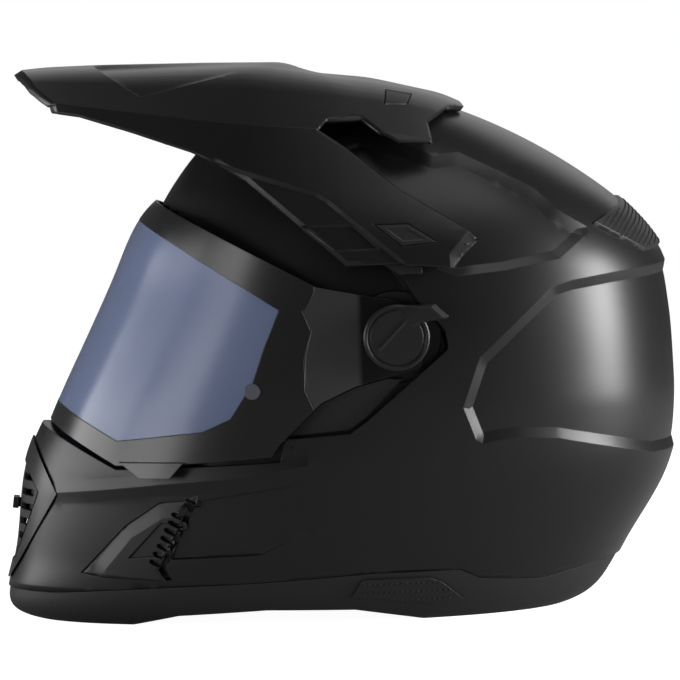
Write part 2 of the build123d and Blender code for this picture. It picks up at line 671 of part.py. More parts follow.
def make_peak_screw():
    """The side screw, set from inside, that the peak's wing turns on."""
    screw = (peak_pivot_x_share * half_length, peak_pivot_z_share * shell_height)
    return rod(*screw, screw_radius, -wing_inner - screw_reach, -wing_inner + screw_bite)


def make_strap(side):
    """One half of the fastened chin strap, sagging from its anchor to the rings."""
    top = strap_top_share * shell_height
    root = anchor_inner_share * half_width - nest_gap
    end = ring_wide / 2 + ring_wire + nest_gap
    upper = []
    lower = []
    for step in range(strap_steps + 1):
        y = root + (end - root) * step / strap_steps
        z = top - strap_sag * (1 - (y / root) ** 2)
        upper.append((side * y, z + strap_wall / 2))
        lower.append((side * y, z - strap_wall / 2))
    x = strap_x_share * half_length - strap_wide / 2
    wire = Wire.make_polygon([(x, y, z) for y, z in upper + lower[::-1]], close=True)
    return extrude(Face(wire), amount=strap_wide, dir=(1, 0, 0))


def make_rings():
    """The pair of rings that the strap is threaded through."""
    rings = []
    for index in range(2):
        z = strap_top_share * shell_height - strap_sag + index * ring_pitch
        outer = RectangleRounded(ring_long + 2 * ring_wire, ring_wide + 2 * ring_wire, ring_corner + ring_wire)
        ring = extrude(outer - RectangleRounded(ring_long, ring_wide, ring_corner), amount=ring_wire)
        rings.append(Pos(strap_x_share * half_length, 0, z) * ring)
    return Compound(rings)


def make_strap_anchor():
    """The bracket inside the rim that holds the strap's end."""
    long, deep, tall = anchor_size
    y = anchor_inner_share * half_width + deep / 2
    block = Pos(strap_x_share * half_length, -y, strap_top_share * shell_height) * Box(long, deep, tall)
    return block & shell_form(trim_inset + trim_wall + nest_gap)


def save(name, piece):
    """Write one piece to its own file."""
    export_step(piece, os.path.join("parts", name + ".step"))


def save_pair(name, piece):
    """Write a left-hand piece and its mirror image."""
    for side, made in zip(("left", "right"), both_sides(piece)):
        save(name + "_" + side, made)


os.makedirs("parts", exist_ok=True)
save("outer_shell", make_outer_shell())
save("eps_liner", make_eps_liner())
save("comfort_liner", make_comfort_liner())
save("chin_liner", make_chin_liner())
save("breath_guard", make_breath_guard())
save("bottom_trim", make_bottom_trim())
save("chin_curtain", make_chin_curtain())
save_pair("cheek_pad", make_cheek_pad())
save("neck_roll", make_neck_roll())
save("eye_port_gasket", make_gasket())
save("mouth_vent_frame", make_mouth_frame())
save("mouth_vent_cover", make_mouth_mesh())
save("mouth_vent_slider", make_vent_slider())
save_pair("side_scoop", make_side_scoop())
save_pair("side_plate", make_side_plate())
save("rear_vent", make_rear_vent())
save_pair("rim_plate", make_insert_plate())
save_pair("pivot_base", make_pivot_base())
save_pair("pivot_lever", make_lever())
shield_frame, shield_arm, shield_window, shield_insert, shield_pins = make_shield()
save("shield_frame", shield_frame)
save_pair("shield_arm", shield_arm)
save("shield_window", shield_window)
save("shield_insert", shield_insert)
save("shield_pins", shield_pins)
peak, peak_badge, peak_plug = make_peak()
save("peak", peak)
save_pair("peak_badge", peak_badge)
save_pair("peak_plug", peak_plug)
save_pair("peak_mount", make_peak_mount())
save("peak_screws", Compound(both_sides(make_peak_screw())))
save("strap_left", make_strap(-1))
save("strap_right", make_strap(1))
save("strap_rings", make_rings())
save_pair("strap_anchor", make_strap_anchor())
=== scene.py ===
"""Dual sport helmet, dressed for the studio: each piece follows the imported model, in metres.

The helmet faces -X, the photograph shows its left side (-Y) and +Z is up.
"""
from math import cos, pi, radians, sin

import bmesh
import bpy
from mathutils import Matrix, Vector


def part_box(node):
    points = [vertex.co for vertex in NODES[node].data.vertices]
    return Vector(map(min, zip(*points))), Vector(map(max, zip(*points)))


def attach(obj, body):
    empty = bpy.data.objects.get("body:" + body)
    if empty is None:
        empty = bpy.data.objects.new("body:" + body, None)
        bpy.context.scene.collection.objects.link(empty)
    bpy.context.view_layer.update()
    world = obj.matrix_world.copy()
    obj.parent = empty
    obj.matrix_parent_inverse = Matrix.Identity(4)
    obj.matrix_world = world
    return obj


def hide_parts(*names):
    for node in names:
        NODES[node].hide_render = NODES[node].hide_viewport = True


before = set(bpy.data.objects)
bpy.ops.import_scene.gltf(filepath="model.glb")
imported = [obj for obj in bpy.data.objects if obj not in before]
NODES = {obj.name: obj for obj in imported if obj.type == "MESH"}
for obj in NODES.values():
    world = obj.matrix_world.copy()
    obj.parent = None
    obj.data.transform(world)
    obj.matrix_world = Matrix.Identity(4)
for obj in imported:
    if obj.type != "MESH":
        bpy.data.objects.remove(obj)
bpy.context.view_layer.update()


# Camera: a long lens just above the level of the chin vent, as in the photograph.
# It stands a little towards the front of the helmet and is tilted by a small roll.
CAMERA_DISTANCE = 2.6
CAMERA_LENS = 250.3
CAMERA_TARGET = Vector((0.0, 0.0, 0.145))
CAMERA_HEIGHT_ANGLE, CAMERA_SIDE_ANGLE, CAMERA_ROLL = radians(3.5), radians(2.5), radians(1.7)


def in_scene(name, data):
    """A new object, linked to the scene."""
    thing = bpy.data.objects.new(name, data)
    bpy.context.scene.collection.objects.link(thing)
    return thing


look = Vector((sin(CAMERA_SIDE_ANGLE) * cos(CAMERA_HEIGHT_ANGLE),
               cos(CAMERA_SIDE_ANGLE) * cos(CAMERA_HEIGHT_ANGLE), -sin(CAMERA_HEIGHT_ANGLE)))
level = Vector((cos(CAMERA_SIDE_ANGLE), -sin(CAMERA_SIDE_ANGLE), 0.0))
upward = level.cross(look)
right = level * cos(CAMERA_ROLL) - upward * sin(CAMERA_ROLL)
top = level * sin(CAMERA_ROLL) + upward * cos(CAMERA_ROLL)
camera = in_scene("studio_camera", bpy.data.cameras.new("studio_camera"))
camera.data.lens = CAMERA_LENS
camera.data.sensor_width = 36.0
camera.data.clip_end = 50.0
camera.matrix_world = Matrix.Translation(CAMERA_TARGET - look * CAMERA_DISTANCE) @ Matrix(
    (right, top, -look)).transposed().to_4x4()
bpy.context.scene.camera = camera


# Studio: a white floor that keeps a soft shadow, a white surround and large soft boxes.
# The boxes stand behind and in front of the helmet's left side and above it.
FLOOR_HALF = 6.0
FLOOR_WHITE, FLOOR_GREY = 0.965, 0.5
SURROUND_LIGHT = 0.07
SOFT_BOXES = {
    "rear_box": ((1.2, -0.36, 0.3), (0.12, -0.05, 0.13), (0.4, 0.8), 31.0),
    "front_box": ((-1.3, -0.85, 0.12), (-0.12, -0.05, 0.08), (0.8, 0.9), 11.0),
    "nose_box": ((-1.5, 0.15, 0.2), (-0.15, 0.0, 0.1), (1.25, 0.9), 18.0),
    "top_box": ((0.35, -0.45, 1.4), (0.05, 0.0, 0.2), (0.9, 0.7), 3.8),
    "back_box": ((0.3, 1.5, 0.9), (0.0, 0.0, 0.2), (1.4, 1.0), 3.5)}


def shader(nodes, kind, values):
    """A new shader node with the given inputs set."""
    node = nodes.new("ShaderNode" + kind)
    for label, value in values.items():
        node.inputs[label].default_value = value
    return node


def seen_by_camera(nodes, wires):
    """One for the camera's own rays, also through glass, and nothing for the light that falls on the helmet."""
    rays, seen = nodes.new("ShaderNodeLightPath"), nodes.new("ShaderNodeMath")
    seen.operation = "MAXIMUM"
    wires.new(rays.outputs["Is Camera Ray"], seen.inputs[0])
    wires.new(rays.outputs["Is Transmission Ray"], seen.inputs[1])
    return seen.outputs[0]


def mixed(nodes, wires, factor, first, second):
    """A shader that changes from the first to the second as the factor rises."""
    mix = nodes.new("ShaderNodeMixShader")
    for index, output in enumerate((factor, first.outputs[0], second.outputs[0])):
        wires.new(output, mix.inputs[index])
    return mix.outputs[0]


world = bpy.data.worlds.new("studio")
world.use_nodes = True
bpy.context.scene.world = world
nodes, wires = world.node_tree.nodes, world.node_tree.links
surround = nodes["Background"]
surround.inputs["Color"].default_value = (1, 1, 1, 1)
surround.inputs["Strength"].default_value = SURROUND_LIGHT
backdrop = shader(nodes, "Background", {"Color": (1, 1, 1, 1), "Strength": 1.0})
backed = mixed(nodes, wires, seen_by_camera(nodes, wires), surround, backdrop)
wires.new(backed, nodes["World Output"].inputs["Surface"])

floor_mesh = bpy.data.meshes.new("studio_floor")
floor_corners = [(FLOOR_HALF * x, FLOOR_HALF * y, 0) for x, y in ((-1, -1), (1, -1), (1, 1), (-1, 1))]
floor_mesh.from_pydata(floor_corners, [], [(0, 1, 2, 3)])
floor = in_scene("studio_floor", floor_mesh)
floor_paint = bpy.data.materials.new("floor_paint")
floor_paint.use_nodes = True
nodes, wires = floor_paint.node_tree.nodes, floor_paint.node_tree.links
nodes.clear()
floor_grey = shader(nodes, "BsdfDiffuse", {"Color": (FLOOR_GREY, FLOOR_GREY, FLOOR_GREY, 1)})
floor_glow = shader(nodes, "Emission", {"Strength": FLOOR_WHITE})
floor_dark = shader(nodes, "Emission", {"Strength": 0.0})
floor_sum, floor_out = nodes.new("ShaderNodeAddShader"), nodes.new("ShaderNodeOutputMaterial")
wires.new(mixed(nodes, wires, seen_by_camera(nodes, wires), floor_dark, floor_glow), floor_sum.inputs[0])
wires.new(floor_grey.outputs[0], floor_sum.inputs[1])
wires.new(floor_sum.outputs[0], floor_out.inputs["Surface"])
floor_mesh.materials.append(floor_paint)

for box_name, (place, aim, (box_wide, box_high), watts) in SOFT_BOXES.items():
    lamp = bpy.data.lights.new(box_name, "AREA")
    lamp.shape = "RECTANGLE"
    lamp.size, lamp.size_y = box_wide, box_high
    lamp.energy = watts
    soft_box = in_scene(box_name, lamp)
    soft_box.location = place
    soft_box.rotation_euler = (Vector(place) - Vector(aim)).to_track_quat("Z", "Y").to_euler()
bpy.context.scene.view_settings.view_transform = "Standard"


# Outer shell: the injection-moulded hard shell, sprayed matt black over a fine grain.
# Its steps and vents come with the moulding, and its edges are slightly broken.
SHELL_BLACK = (0.0062, 0.0062, 0.0068)
SHELL_ROUGH = 0.35
EDGE_BREAK = 0.0007
MERGE_GAP = 0.00002
SMOOTH_ANGLE, SHELL_CREASE, FACET_ANGLE = radians(28), radians(15), radians(14)


def paint(name):
    """A new material with its nodes, its links and its surface."""
    material = bpy.data.materials.new(name)
    material.use_nodes = True
    nodes = material.node_tree.nodes
    return material, nodes, material.node_tree.links, nodes["Principled BSDF"]


def tinted(nodes, wires, factor, colour, low, high):
    """A colour that wanders between two strengths of itself."""
    tint = nodes.new("ShaderNodeMix")
    tint.data_type = "RGBA"
    tint.inputs["A"].default_value = (*(c * low for c in colour), 1)
    tint.inputs["B"].default_value = (*(min(1.0, c * high) for c in colour), 1)
    wires.new(factor, tint.inputs["Factor"])
    return tint.outputs["Result"]


def moulded_plastic(name, colour, rough, grain_scale, grain_depth, edge=EDGE_BREAK, shine=0.35):
    """Moulded plastic with a fine grain, slightly uneven gloss and broken edges."""
    material, nodes, wires, surface = paint(name)
    place = nodes.new("ShaderNodeTexCoord").outputs["Object"]
    cloud = shader(nodes, "TexNoise", {"Scale": 14.0, "Detail": 3.0})
    wires.new(place, cloud.inputs["Vector"])
    wires.new(tinted(nodes, wires, cloud.outputs["Fac"], colour, 0.85, 1.152), surface.inputs["Base Color"])
    gloss = shader(nodes, "MapRange", {"To Min": rough - 0.04, "To Max": rough + 0.05})
    wires.new(cloud.outputs["Fac"], gloss.inputs["Value"])
    wires.new(gloss.outputs["Result"], surface.inputs["Roughness"])
    grain = shader(nodes, "TexNoise", {"Scale": grain_scale, "Detail": 2.0})
    wires.new(place, grain.inputs["Vector"])
    relief = shader(nodes, "Bump", {"Strength": 0.5, "Distance": grain_depth})
    wires.new(grain.outputs["Fac"], relief.inputs["Height"])
    rounding = shader(nodes, "Bevel", {"Radius": edge})
    rounding.samples = 4
    wires.new(rounding.outputs["Normal"], relief.inputs["Normal"])
    wires.new(relief.outputs["Normal"], surface.inputs["Normal"])
    surface.inputs["Specular IOR Level"].default_value = shine
    return material


def moulding(node, body, material, edge_width=0.0):
    """The node's own shape as one smooth-shaded skin, with its long edges broken where a width is given."""
    mesh = NODES[node].data.copy()
    work = bmesh.new()
    work.from_mesh(mesh)
    bmesh.ops.remove_doubles(work, verts=work.verts, dist=MERGE_GAP)
    bmesh.ops.dissolve_degenerate(work, dist=MERGE_GAP, edges=work.edges)
    if edge_width:
        bmesh.ops.dissolve_limit(work, angle_limit=radians(1.0), verts=work.verts, edges=work.edges)
    work.to_mesh(mesh)
    work.free()
    mesh.name = node + "_skin"
    if "custom_normal" in mesh.attributes:
        mesh.attributes.remove(mesh.attributes["custom_normal"])
    mesh.materials.clear()
    mesh.materials.append(material)
    mesh.shade_smooth()
    mesh.set_sharp_from_angle(angle=SMOOTH_ANGLE)
    piece = in_scene(node + "_skin", mesh)
    if edge_width:
        bevel = piece.modifiers.new("broken_edges", "BEVEL")
        bevel.width = edge_width
        bevel.segments = 2
        bevel.limit_method = "ANGLE"
        bevel.angle_limit = FACET_ANGLE
        bevel.harden_normals = True
    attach(piece, body)
    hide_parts(node)
    return piece


# Its levels, steps and openings are the source's own shares of half its length, half its width and its height.
SHELL_LONG, SHELL_WIDE, SHELL_TALL = 0.188, 0.125, 0.287
SHELL_LEVEL_SHARES = [
    (0.0, -0.925, 0.655, 0.72), (0.042, -0.99, 0.755, 0.78), (0.125, -0.965, 0.835, 0.865),
    (0.225, -0.945, 0.93, 0.93), (0.295, -0.925, 0.97, 0.97), (0.375, -0.87, 0.985, 0.99),
    (0.45, -0.785, 0.985, 1.0), (0.56, -0.695, 0.975, 1.0), (0.66, -0.605, 0.945, 0.97),
    (0.745, -0.545, 0.848, 0.905), (0.82, -0.478, 0.706, 0.8), (0.89, -0.39, 0.53, 0.65),
    (0.945, -0.275, 0.342, 0.475), (0.973, -0.15, 0.17, 0.285), (0.989, -0.045, 0.06, 0.1)]
MIDDLE_MOST_SHARE, MIDDLE_SHARE = 0.16, 0.55
FRONT_FULL_SHARE, REAR_FULL_SHARE = 0.584, 0.64
TEMPLE_DROP, BROW_DROP, CHIN_LEDGE = 0.0066, 0.0016, 0.008
LEDGE_TOP_SHARE, LEDGE_ABOVE_SHARE, LEDGE_FADE_SHARE = 0.4, 0.04, 0.06
SHELL_COLUMNS, SHELL_ROWS = 144, 100
SHELL_WALL = 0.0045
STYLE_STEP, STYLE_SLOPE = 0.0026, 0.0052
RECESS_SLOPE = 0.0014
POCKET_STEP, POCKET_SLOPE = 0.0024, 0.0006
PIVOT_PLACE, PIVOT_POCKET_RADIUS, PIVOT_POCKET_SIDES = Vector((0.02406, 0.15297)), 0.0243, 40
PIVOT_POCKET_DEPTH, PIVOT_POCKET_SLOPE = 0.0016, 0.0003
CHIN_RIDGE_SHARES = [(-0.84, 0.2475), (-0.527, 0.27), (-0.31, 0.281), (-0.13, 0.302)]
CHIN_RIDGE_HIGH, CHIN_RIDGE_HALF = 0.0009, 0.006
SCORE_REACH, SLIVER = 0.006, 0.00012
FLANK_SHARES = [
    (-0.04, 0.89), (0.05, 0.905), (0.15, 0.89), (0.26, 0.86), (0.33, 0.865), (0.54, 0.795), (0.6, 0.755),
    (0.7, 0.715), (0.6, 0.665), (0.44, 0.648), (0.3, 0.64), (0.25, 0.655), (0.22, 0.74), (0.02, 0.8)]
REAR_PANEL_SHARES = [
    (0.36, 0.49), (0.48, 0.56), (0.575, 0.615), (0.635, 0.625), (0.76, 0.635), (1.2, 0.655), (1.2, 0.285),
    (0.875, 0.29), (0.75, 0.31), (0.58, 0.335), (0.47, 0.34), (0.415, 0.338), (0.35, 0.33), (0.31, 0.4)]
LOWER_STEP_SHARES = [
    (-0.46, 0.228), (-0.436, 0.2385), (-0.093, 0.273), (-0.05, 0.2), (-0.264, 0.135), (-0.52, 0.127)]
LOWER_STEP_DEPTH, LOWER_STEP_FULL, LOWER_STEP_END = 0.8 * STYLE_STEP, -0.072, -0.018
RECESS_SHARES = [
    (0.16, 0.635), (0.19, 0.6), (0.265, 0.545), (0.275, 0.51), (0.045, 0.383), (-0.008, 0.358),
    (-0.19, 0.3505), (-0.205, 0.308), (-0.665, 0.295),
    (-0.865, 0.365), (-1.145, 0.455), (-1.145, 1.15), (-0.16, 1.15), (-0.04, 0.87), (0.075, 0.71)]
EYE_PORT_SHARES = [
    (-1.145, 1.045), (-0.14, 0.617), (-0.195, 0.525), (-0.265, 0.362), (-0.3, 0.35), (-0.65, 0.332),
    (-0.83, 0.395), (-1.145, 0.495)]
MOUTH_SHARES = [(-1.2, 0.4), (-0.905, 0.345), (-0.835, 0.245), (-0.985, 0.075), (-1.2, 0.03)]
SCOOP_SHARES = [
    (-0.775, 0.1), (-0.645, 0.19), (-0.545, 0.235), (-0.435, 0.24), (-0.445, 0.225), (-0.535, 0.11),
    (-0.515, 0.088), (-0.72, 0.093)]
MESH_SHARES = [(-1.2, 0.33), (-0.93, 0.297), (-0.89, 0.245), (-0.968, 0.11), (-1.2, 0.07)]
RIM_SHARES = [
    (-1.3, 0.055), (-0.85, 0.06), (-0.72, 0.067), (-0.525, 0.075), (-0.27, 0.082), (0.055, 0.095),
    (0.3, 0.095), (0.36, 0.075), (0.535, 0.066), (0.7, 0.085), (1.3, 0.12), (1.3, -0.2), (-1.3, -0.2)]


def side_outline(shares):
    """Corners of a side view outline."""
    return [Vector((x * SHELL_LONG, z * SHELL_TALL)) for x, z in shares]


def clamped(value):
    """A share kept between nothing and one."""
    return min(1.0, max(0.0, value))


def with_normals(work):
    """The vertices of a skin, each with its normal from before any of them moves."""
    work.normal_update()
    return list(zip(work.verts, [vert.normal.copy() for vert in work.verts]))


def depth_inside(corners, x, z):
    """How far a point lies inside an outline, or below zero how far outside."""
    nearest, inside = 1.0, False
    for (ax, az), (bx, bz) in zip(corners, corners[1:] + corners[:1]):
        dx, dz = bx - ax, bz - az
        along = clamped(((x - ax) * dx + (z - az) * dz) / (dx * dx + dz * dz))
        nearest = min(nearest, ((ax + dx * along - x) ** 2 + (az + dz * along - z) ** 2) ** 0.5)
        if (az > z) != (bz > z) and x < ax + (z - az) / dz * dx:
            inside = not inside
    return nearest if inside else -nearest


def moved_in(corners, distance):
    """An outline moved inwards, with mitred corners."""
    turn = sum(a.cross(b) for a, b in zip(corners, corners[1:] + corners[:1]))
    side = 1 if turn > 0 else -1
    moved = []
    for index, corner in enumerate(corners):
        before = (corner - corners[index - 1]).normalized()
        after = (corners[(index + 1) % len(corners)] - corner).normalized()
        across = Vector((-before.y - after.y, before.x + after.x)) * side
        moved.append(corner + across * distance * 2 / max(across.length_squared, 0.5))
    return moved


def score(work, corners):
    """Cut an outline's lines into a skin, seen from the side, so that its edges stay crisp."""
    for start, end in zip(corners, corners[1:] + corners[:1]):
        run = end - start
        length = run.length
        along = run / length
        place, across = Vector((start.x, 0, start.y)), Vector((-along.y, 0, along.x))
        near = []
        for face in work.faces:
            middle = face.calc_center_median()
            dx, dz = middle.x - start.x, middle.z - start.y
            ahead = dx * along.x + dz * along.y
            if abs(dx * along.y - dz * along.x) < SCORE_REACH and -SCORE_REACH < ahead < length + SCORE_REACH:
                near.append(face)
        if near:
            edges = {edge for face in near for edge in face.edges}
            verts = {vert for face in near for vert in face.verts}
            bmesh.ops.bisect_plane(
                work, geom=[*near, *edges, *verts], dist=1e-6, plane_co=place, plane_no=across)
    bmesh.ops.remove_doubles(work, verts=work.verts, dist=SLIVER)
    bmesh.ops.dissolve_degenerate(work, dist=SLIVER, edges=work.edges)


def trim_away(work, corners, keep_inside=False):
    """Take off the faces of a skin that lie inside an outline, or outside it."""
    gone = []
    for face in work.faces:
        middle = face.calc_center_median()
        if (depth_inside(corners, middle.x, middle.z) > 0) != keep_inside:
            gone.append(face)
    bmesh.ops.delete(work, geom=gone, context="FACES")


def both_halves(work):
    """Join the left half of a skin to its mirror image."""
    for vert in work.verts:
        if abs(vert.co.y) < 1e-5:
            vert.co.y = 0.0
    mirrored = bmesh.ops.duplicate(work, geom=[*work.verts, *work.edges, *work.faces])["geom"]
    for vert in (item for item in mirrored if isinstance(item, bmesh.types.BMVert)):
        vert.co.y = -vert.co.y
    bmesh.ops.reverse_faces(work, faces=[item for item in mirrored if isinstance(item, bmesh.types.BMFace)])
    bmesh.ops.remove_doubles(work, verts=work.verts, dist=1e-6)
    bmesh.ops.triangulate(work, faces=[face for face in work.faces if len(face.verts) > 4])


def on_side(work, turned):
    """Leave a left-hand skin on its side or mirror it to the other, and split its many-sided faces."""
    for vert in work.verts:
        vert.co.y *= turned
    if turned < 0:
        bmesh.ops.reverse_faces(work, faces=work.faces)
    bmesh.ops.triangulate(work, faces=[face for face in work.faces if len(face.verts) > 4])


def sink(work, corners, step, slope, fade=None, foot_line=True):
    """Press an outline into a skin, with a sloping side, and less of it where the fade says so."""
    score(work, corners)
    if foot_line:
        score(work, moved_in(corners, slope))
    for vert, normal in with_normals(work):
        share = clamped(depth_inside(corners, vert.co.x, vert.co.z) / slope)
        vert.co -= normal * step * share * (fade(vert.co) if fade else 1.0)


def skin_piece(work, name, material, wall, sharp):
    """The finished skin as an object with its wall set inwards."""
    mesh = bpy.data.meshes.new(name)
    work.to_mesh(mesh)
    work.free()
    mesh.materials.append(material)
    mesh.shade_smooth()
    mesh.set_sharp_from_angle(angle=sharp)
    piece = in_scene(name, mesh)
    thickness = piece.modifiers.new("wall", "SOLIDIFY")
    thickness.thickness = wall
    thickness.offset = -1.0
    return piece


def shell_level(row, temple):
    """Height, front, rear and half width at a row, on the outer face or on the face under the shield."""
    knots = [0.0]
    for before, after in zip(SHELL_LEVEL_SHARES, SHELL_LEVEL_SHARES[1:]):
        knots.append(knots[-1] + sum((b - a) ** 2 for a, b in zip(before, after)) ** 0.5)
    place = knots[-1] * row / SHELL_ROWS
    index = max(i for i in range(len(knots) - 1) if knots[i] <= place)
    span = knots[index + 1] - knots[index]
    s = (place - knots[index]) / span

    def slope(i, k):
        low, high = max(i - 1, 0), min(i + 1, len(knots) - 1)
        return (SHELL_LEVEL_SHARES[high][k] - SHELL_LEVEL_SHARES[low][k]) / (knots[high] - knots[low])

    shares = []
    for k in range(4):
        a, b = SHELL_LEVEL_SHARES[index][k], SHELL_LEVEL_SHARES[index + 1][k]
        shares.append((2 * s ** 3 - 3 * s ** 2 + 1) * a + (s ** 3 - 2 * s ** 2 + s) * span * slope(index, k)
                      + (3 * s ** 2 - 2 * s ** 3) * b + (s ** 3 - s ** 2) * span * slope(index + 1, k))
    sizes = (SHELL_TALL, SHELL_LONG, SHELL_LONG, SHELL_WIDE)
    z, front, rear, half = (share * size for share, size in zip(shares, sizes))
    if temple:
        ledge = clamped((LEDGE_TOP_SHARE + LEDGE_ABOVE_SHARE - shares[0]) / LEDGE_FADE_SHARE)
        front += BROW_DROP + (CHIN_LEDGE - BROW_DROP) * ledge
        z, rear, half = z - BROW_DROP, rear - BROW_DROP, half * (1 - TEMPLE_DROP / SHELL_WIDE)
    return z, front, rear, half


def skin_point(row, column, temple=False):
    """A point of the left half of the skin: column 0 is the middle of the back."""
    z, front, rear, half = shell_level(row, temple)
    middle = min(MIDDLE_MOST_SHARE * SHELL_LONG, front + MIDDLE_SHARE * (rear - front))
    turn = 2 * column / SHELL_COLUMNS
    reach, full = (rear - middle, REAR_FULL_SHARE) if turn < 1 else (front - middle, FRONT_FULL_SHARE)
    s = turn if turn < 1 else 2 - turn
    x = middle + reach * ((1 - s) ** 3 + 3 * (1 - s) ** 2 * s + 3 * (1 - s) * s * s * full)
    y = half * (3 * (1 - s) ** 2 * s * full + 3 * (1 - s) * s * s + s ** 3)
    return Vector((x, -y, z))


work = bmesh.new()
temple_of = work.verts.layers.float_vector.new("temple")
rings = []
for row in range(SHELL_ROWS + 1):
    ring = []
    for column in range(SHELL_COLUMNS + 1):
        vert = work.verts.new(skin_point(row, column))
        vert[temple_of] = skin_point(row, column, True) - vert.co
        ring.append(vert)
    rings.append(ring)
for low, high in zip(rings, rings[1:]):
    for column in range(SHELL_COLUMNS):
        work.faces.new((low[column + 1], low[column], high[column], high[column + 1]))
work.faces.new(rings[-1])
work.normal_update()

recess = side_outline(RECESS_SHARES)
score(work, recess)
score(work, moved_in(recess, RECESS_SLOPE))
for vert in work.verts:
    share = clamped(depth_inside(recess, vert.co.x, vert.co.z) / RECESS_SLOPE)
    vert.co += Vector(vert[temple_of]) * share
smooth_shell = work.copy()


def unit_circle(count):
    """Points round a circle of radius one."""
    return [(cos(2 * pi * k / count), sin(2 * pi * k / count)) for k in range(count)]


def in_recess(place):
    """Full inside the recess under the shield, and nothing on its wall."""
    return clamped((depth_inside(recess, place.x, place.z) - RECESS_SLOPE) / RECESS_SLOPE)


def lower_fade(place):
    """The channel behind the scoop runs out to nothing at its rear."""
    return clamped((LOWER_STEP_END - place.x) / (LOWER_STEP_END - LOWER_STEP_FULL))


ridge = side_outline(CHIN_RIDGE_SHARES)
score(work, ridge)
score(work, [point + Vector((0, CHIN_RIDGE_HALF)) for point in ridge])
score(work, [point - Vector((0, CHIN_RIDGE_HALF)) for point in ridge])
for vert, normal in with_normals(work):
    away = -depth_inside([*ridge, *ridge[-2:0:-1]], vert.co.x, vert.co.z)
    vert.co += normal * CHIN_RIDGE_HIGH * max(0.0, 1.0 - abs(away) / CHIN_RIDGE_HALF)
sink(work, side_outline(FLANK_SHARES), STYLE_STEP, STYLE_SLOPE)
sink(work, side_outline(REAR_PANEL_SHARES), STYLE_STEP, STYLE_SLOPE)
sink(work, side_outline(LOWER_STEP_SHARES), LOWER_STEP_DEPTH, POCKET_SLOPE, fade=lower_fade)
sink(work, side_outline(SCOOP_SHARES), POCKET_STEP, POCKET_SLOPE)
sink(work, side_outline(MOUTH_SHARES), POCKET_STEP, POCKET_SLOPE)
pivot_pocket = [PIVOT_PLACE + PIVOT_POCKET_RADIUS * Vector(point) for point in unit_circle(PIVOT_POCKET_SIDES)]
sink(work, pivot_pocket, PIVOT_POCKET_DEPTH, PIVOT_POCKET_SLOPE, fade=in_recess)
for shares in (EYE_PORT_SHARES, MESH_SHARES, RIM_SHARES):
    corners = side_outline(shares)
    score(work, corners)
    trim_away(work, corners)
both_halves(work)
shell_paint = moulded_plastic("matt_shell", SHELL_BLACK, SHELL_ROUGH, 1800.0, 0.00003)
shell = skin_piece(work, "shell_skin", shell_paint, SHELL_WALL, SHELL_CREASE)
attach(shell, "helmet")
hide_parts("outer_shell")


# Foam liner: expanded polystyrene beads, black, moulded to the shell's inside.
# The beads show as small rounded cells on its cut faces.
FOAM_GREY = (0.022, 0.022, 0.024)
BEAD_SCALE = 260.0


def bead_foam(name, colour):
    """Moulded bead foam."""
    material, nodes, wires, surface = paint(name)
    surface.inputs["Roughness"].default_value = 0.85
    surface.inputs["Specular IOR Level"].default_value = 0.3
    beads = shader(nodes, "TexVoronoi", {"Scale": BEAD_SCALE})
    wires.new(nodes.new("ShaderNodeTexCoord").outputs["Object"], beads.inputs["Vector"])
    wires.new(tinted(nodes, wires, beads.outputs["Distance"], colour, 1.5, 0.5), surface.inputs["Base Color"])
    relief = shader(nodes, "Bump", {"Strength": 0.6, "Distance": 0.0006})
    relief.invert = True
    wires.new(beads.outputs["Distance"], relief.inputs["Height"])
    wires.new(relief.outputs["Normal"], surface.inputs["Normal"])
    return material


foam = bead_foam("bead_foam", FOAM_GREY)
moulding("eps_liner", "helmet", foam)
moulding("chin_liner", "helmet", foam)


# Crown lining: brushed mesh cloth over thin foam, quilted in channels and snapped into the foam liner.
# It is shaped from the lining's solid, with the channels pressed into its inner face.
LINING_GREY = (0.030, 0.030, 0.034)
LINING_VOXEL = 0.0036
CHANNEL_PITCH, CHANNEL_DEPTH, CHANNEL_POWER, CHANNEL_FACING = 0.034, 0.0013, 0.5, 0.2


def lining_cloth(name, colour, mesh_scale, sheen):
    """Knitted lining cloth: rows of small loops with a soft sheen."""
    material, nodes, wires, surface = paint(name)
    surface.inputs["Roughness"].default_value = 0.9
    surface.inputs["Sheen Weight"].default_value = sheen
    surface.inputs["Sheen Roughness"].default_value = 0.5
    place = nodes.new("ShaderNodeTexCoord").outputs["Object"]
    loops = shader(nodes, "TexVoronoi", {"Scale": mesh_scale, "Randomness": 0.25})
    wires.new(place, loops.inputs["Vector"])
    patches = shader(nodes, "TexNoise", {"Scale": 30.0, "Detail": 4.0})
    wires.new(place, patches.inputs["Vector"])
    blend = shader(nodes, "Math", {1: 0.5})
    blend.operation = "MULTIPLY_ADD"
    wires.new(loops.outputs["Distance"], blend.inputs[0])
    wires.new(patches.outputs["Fac"], blend.inputs[2])
    wires.new(tinted(nodes, wires, blend.outputs[0], colour, 1.35, 0.6), surface.inputs["Base Color"])
    relief = shader(nodes, "Bump", {"Strength": 0.55, "Distance": 0.0004})
    relief.invert = True
    wires.new(loops.outputs["Distance"], relief.inputs["Height"])
    wires.new(relief.outputs["Normal"], surface.inputs["Normal"])
    return material


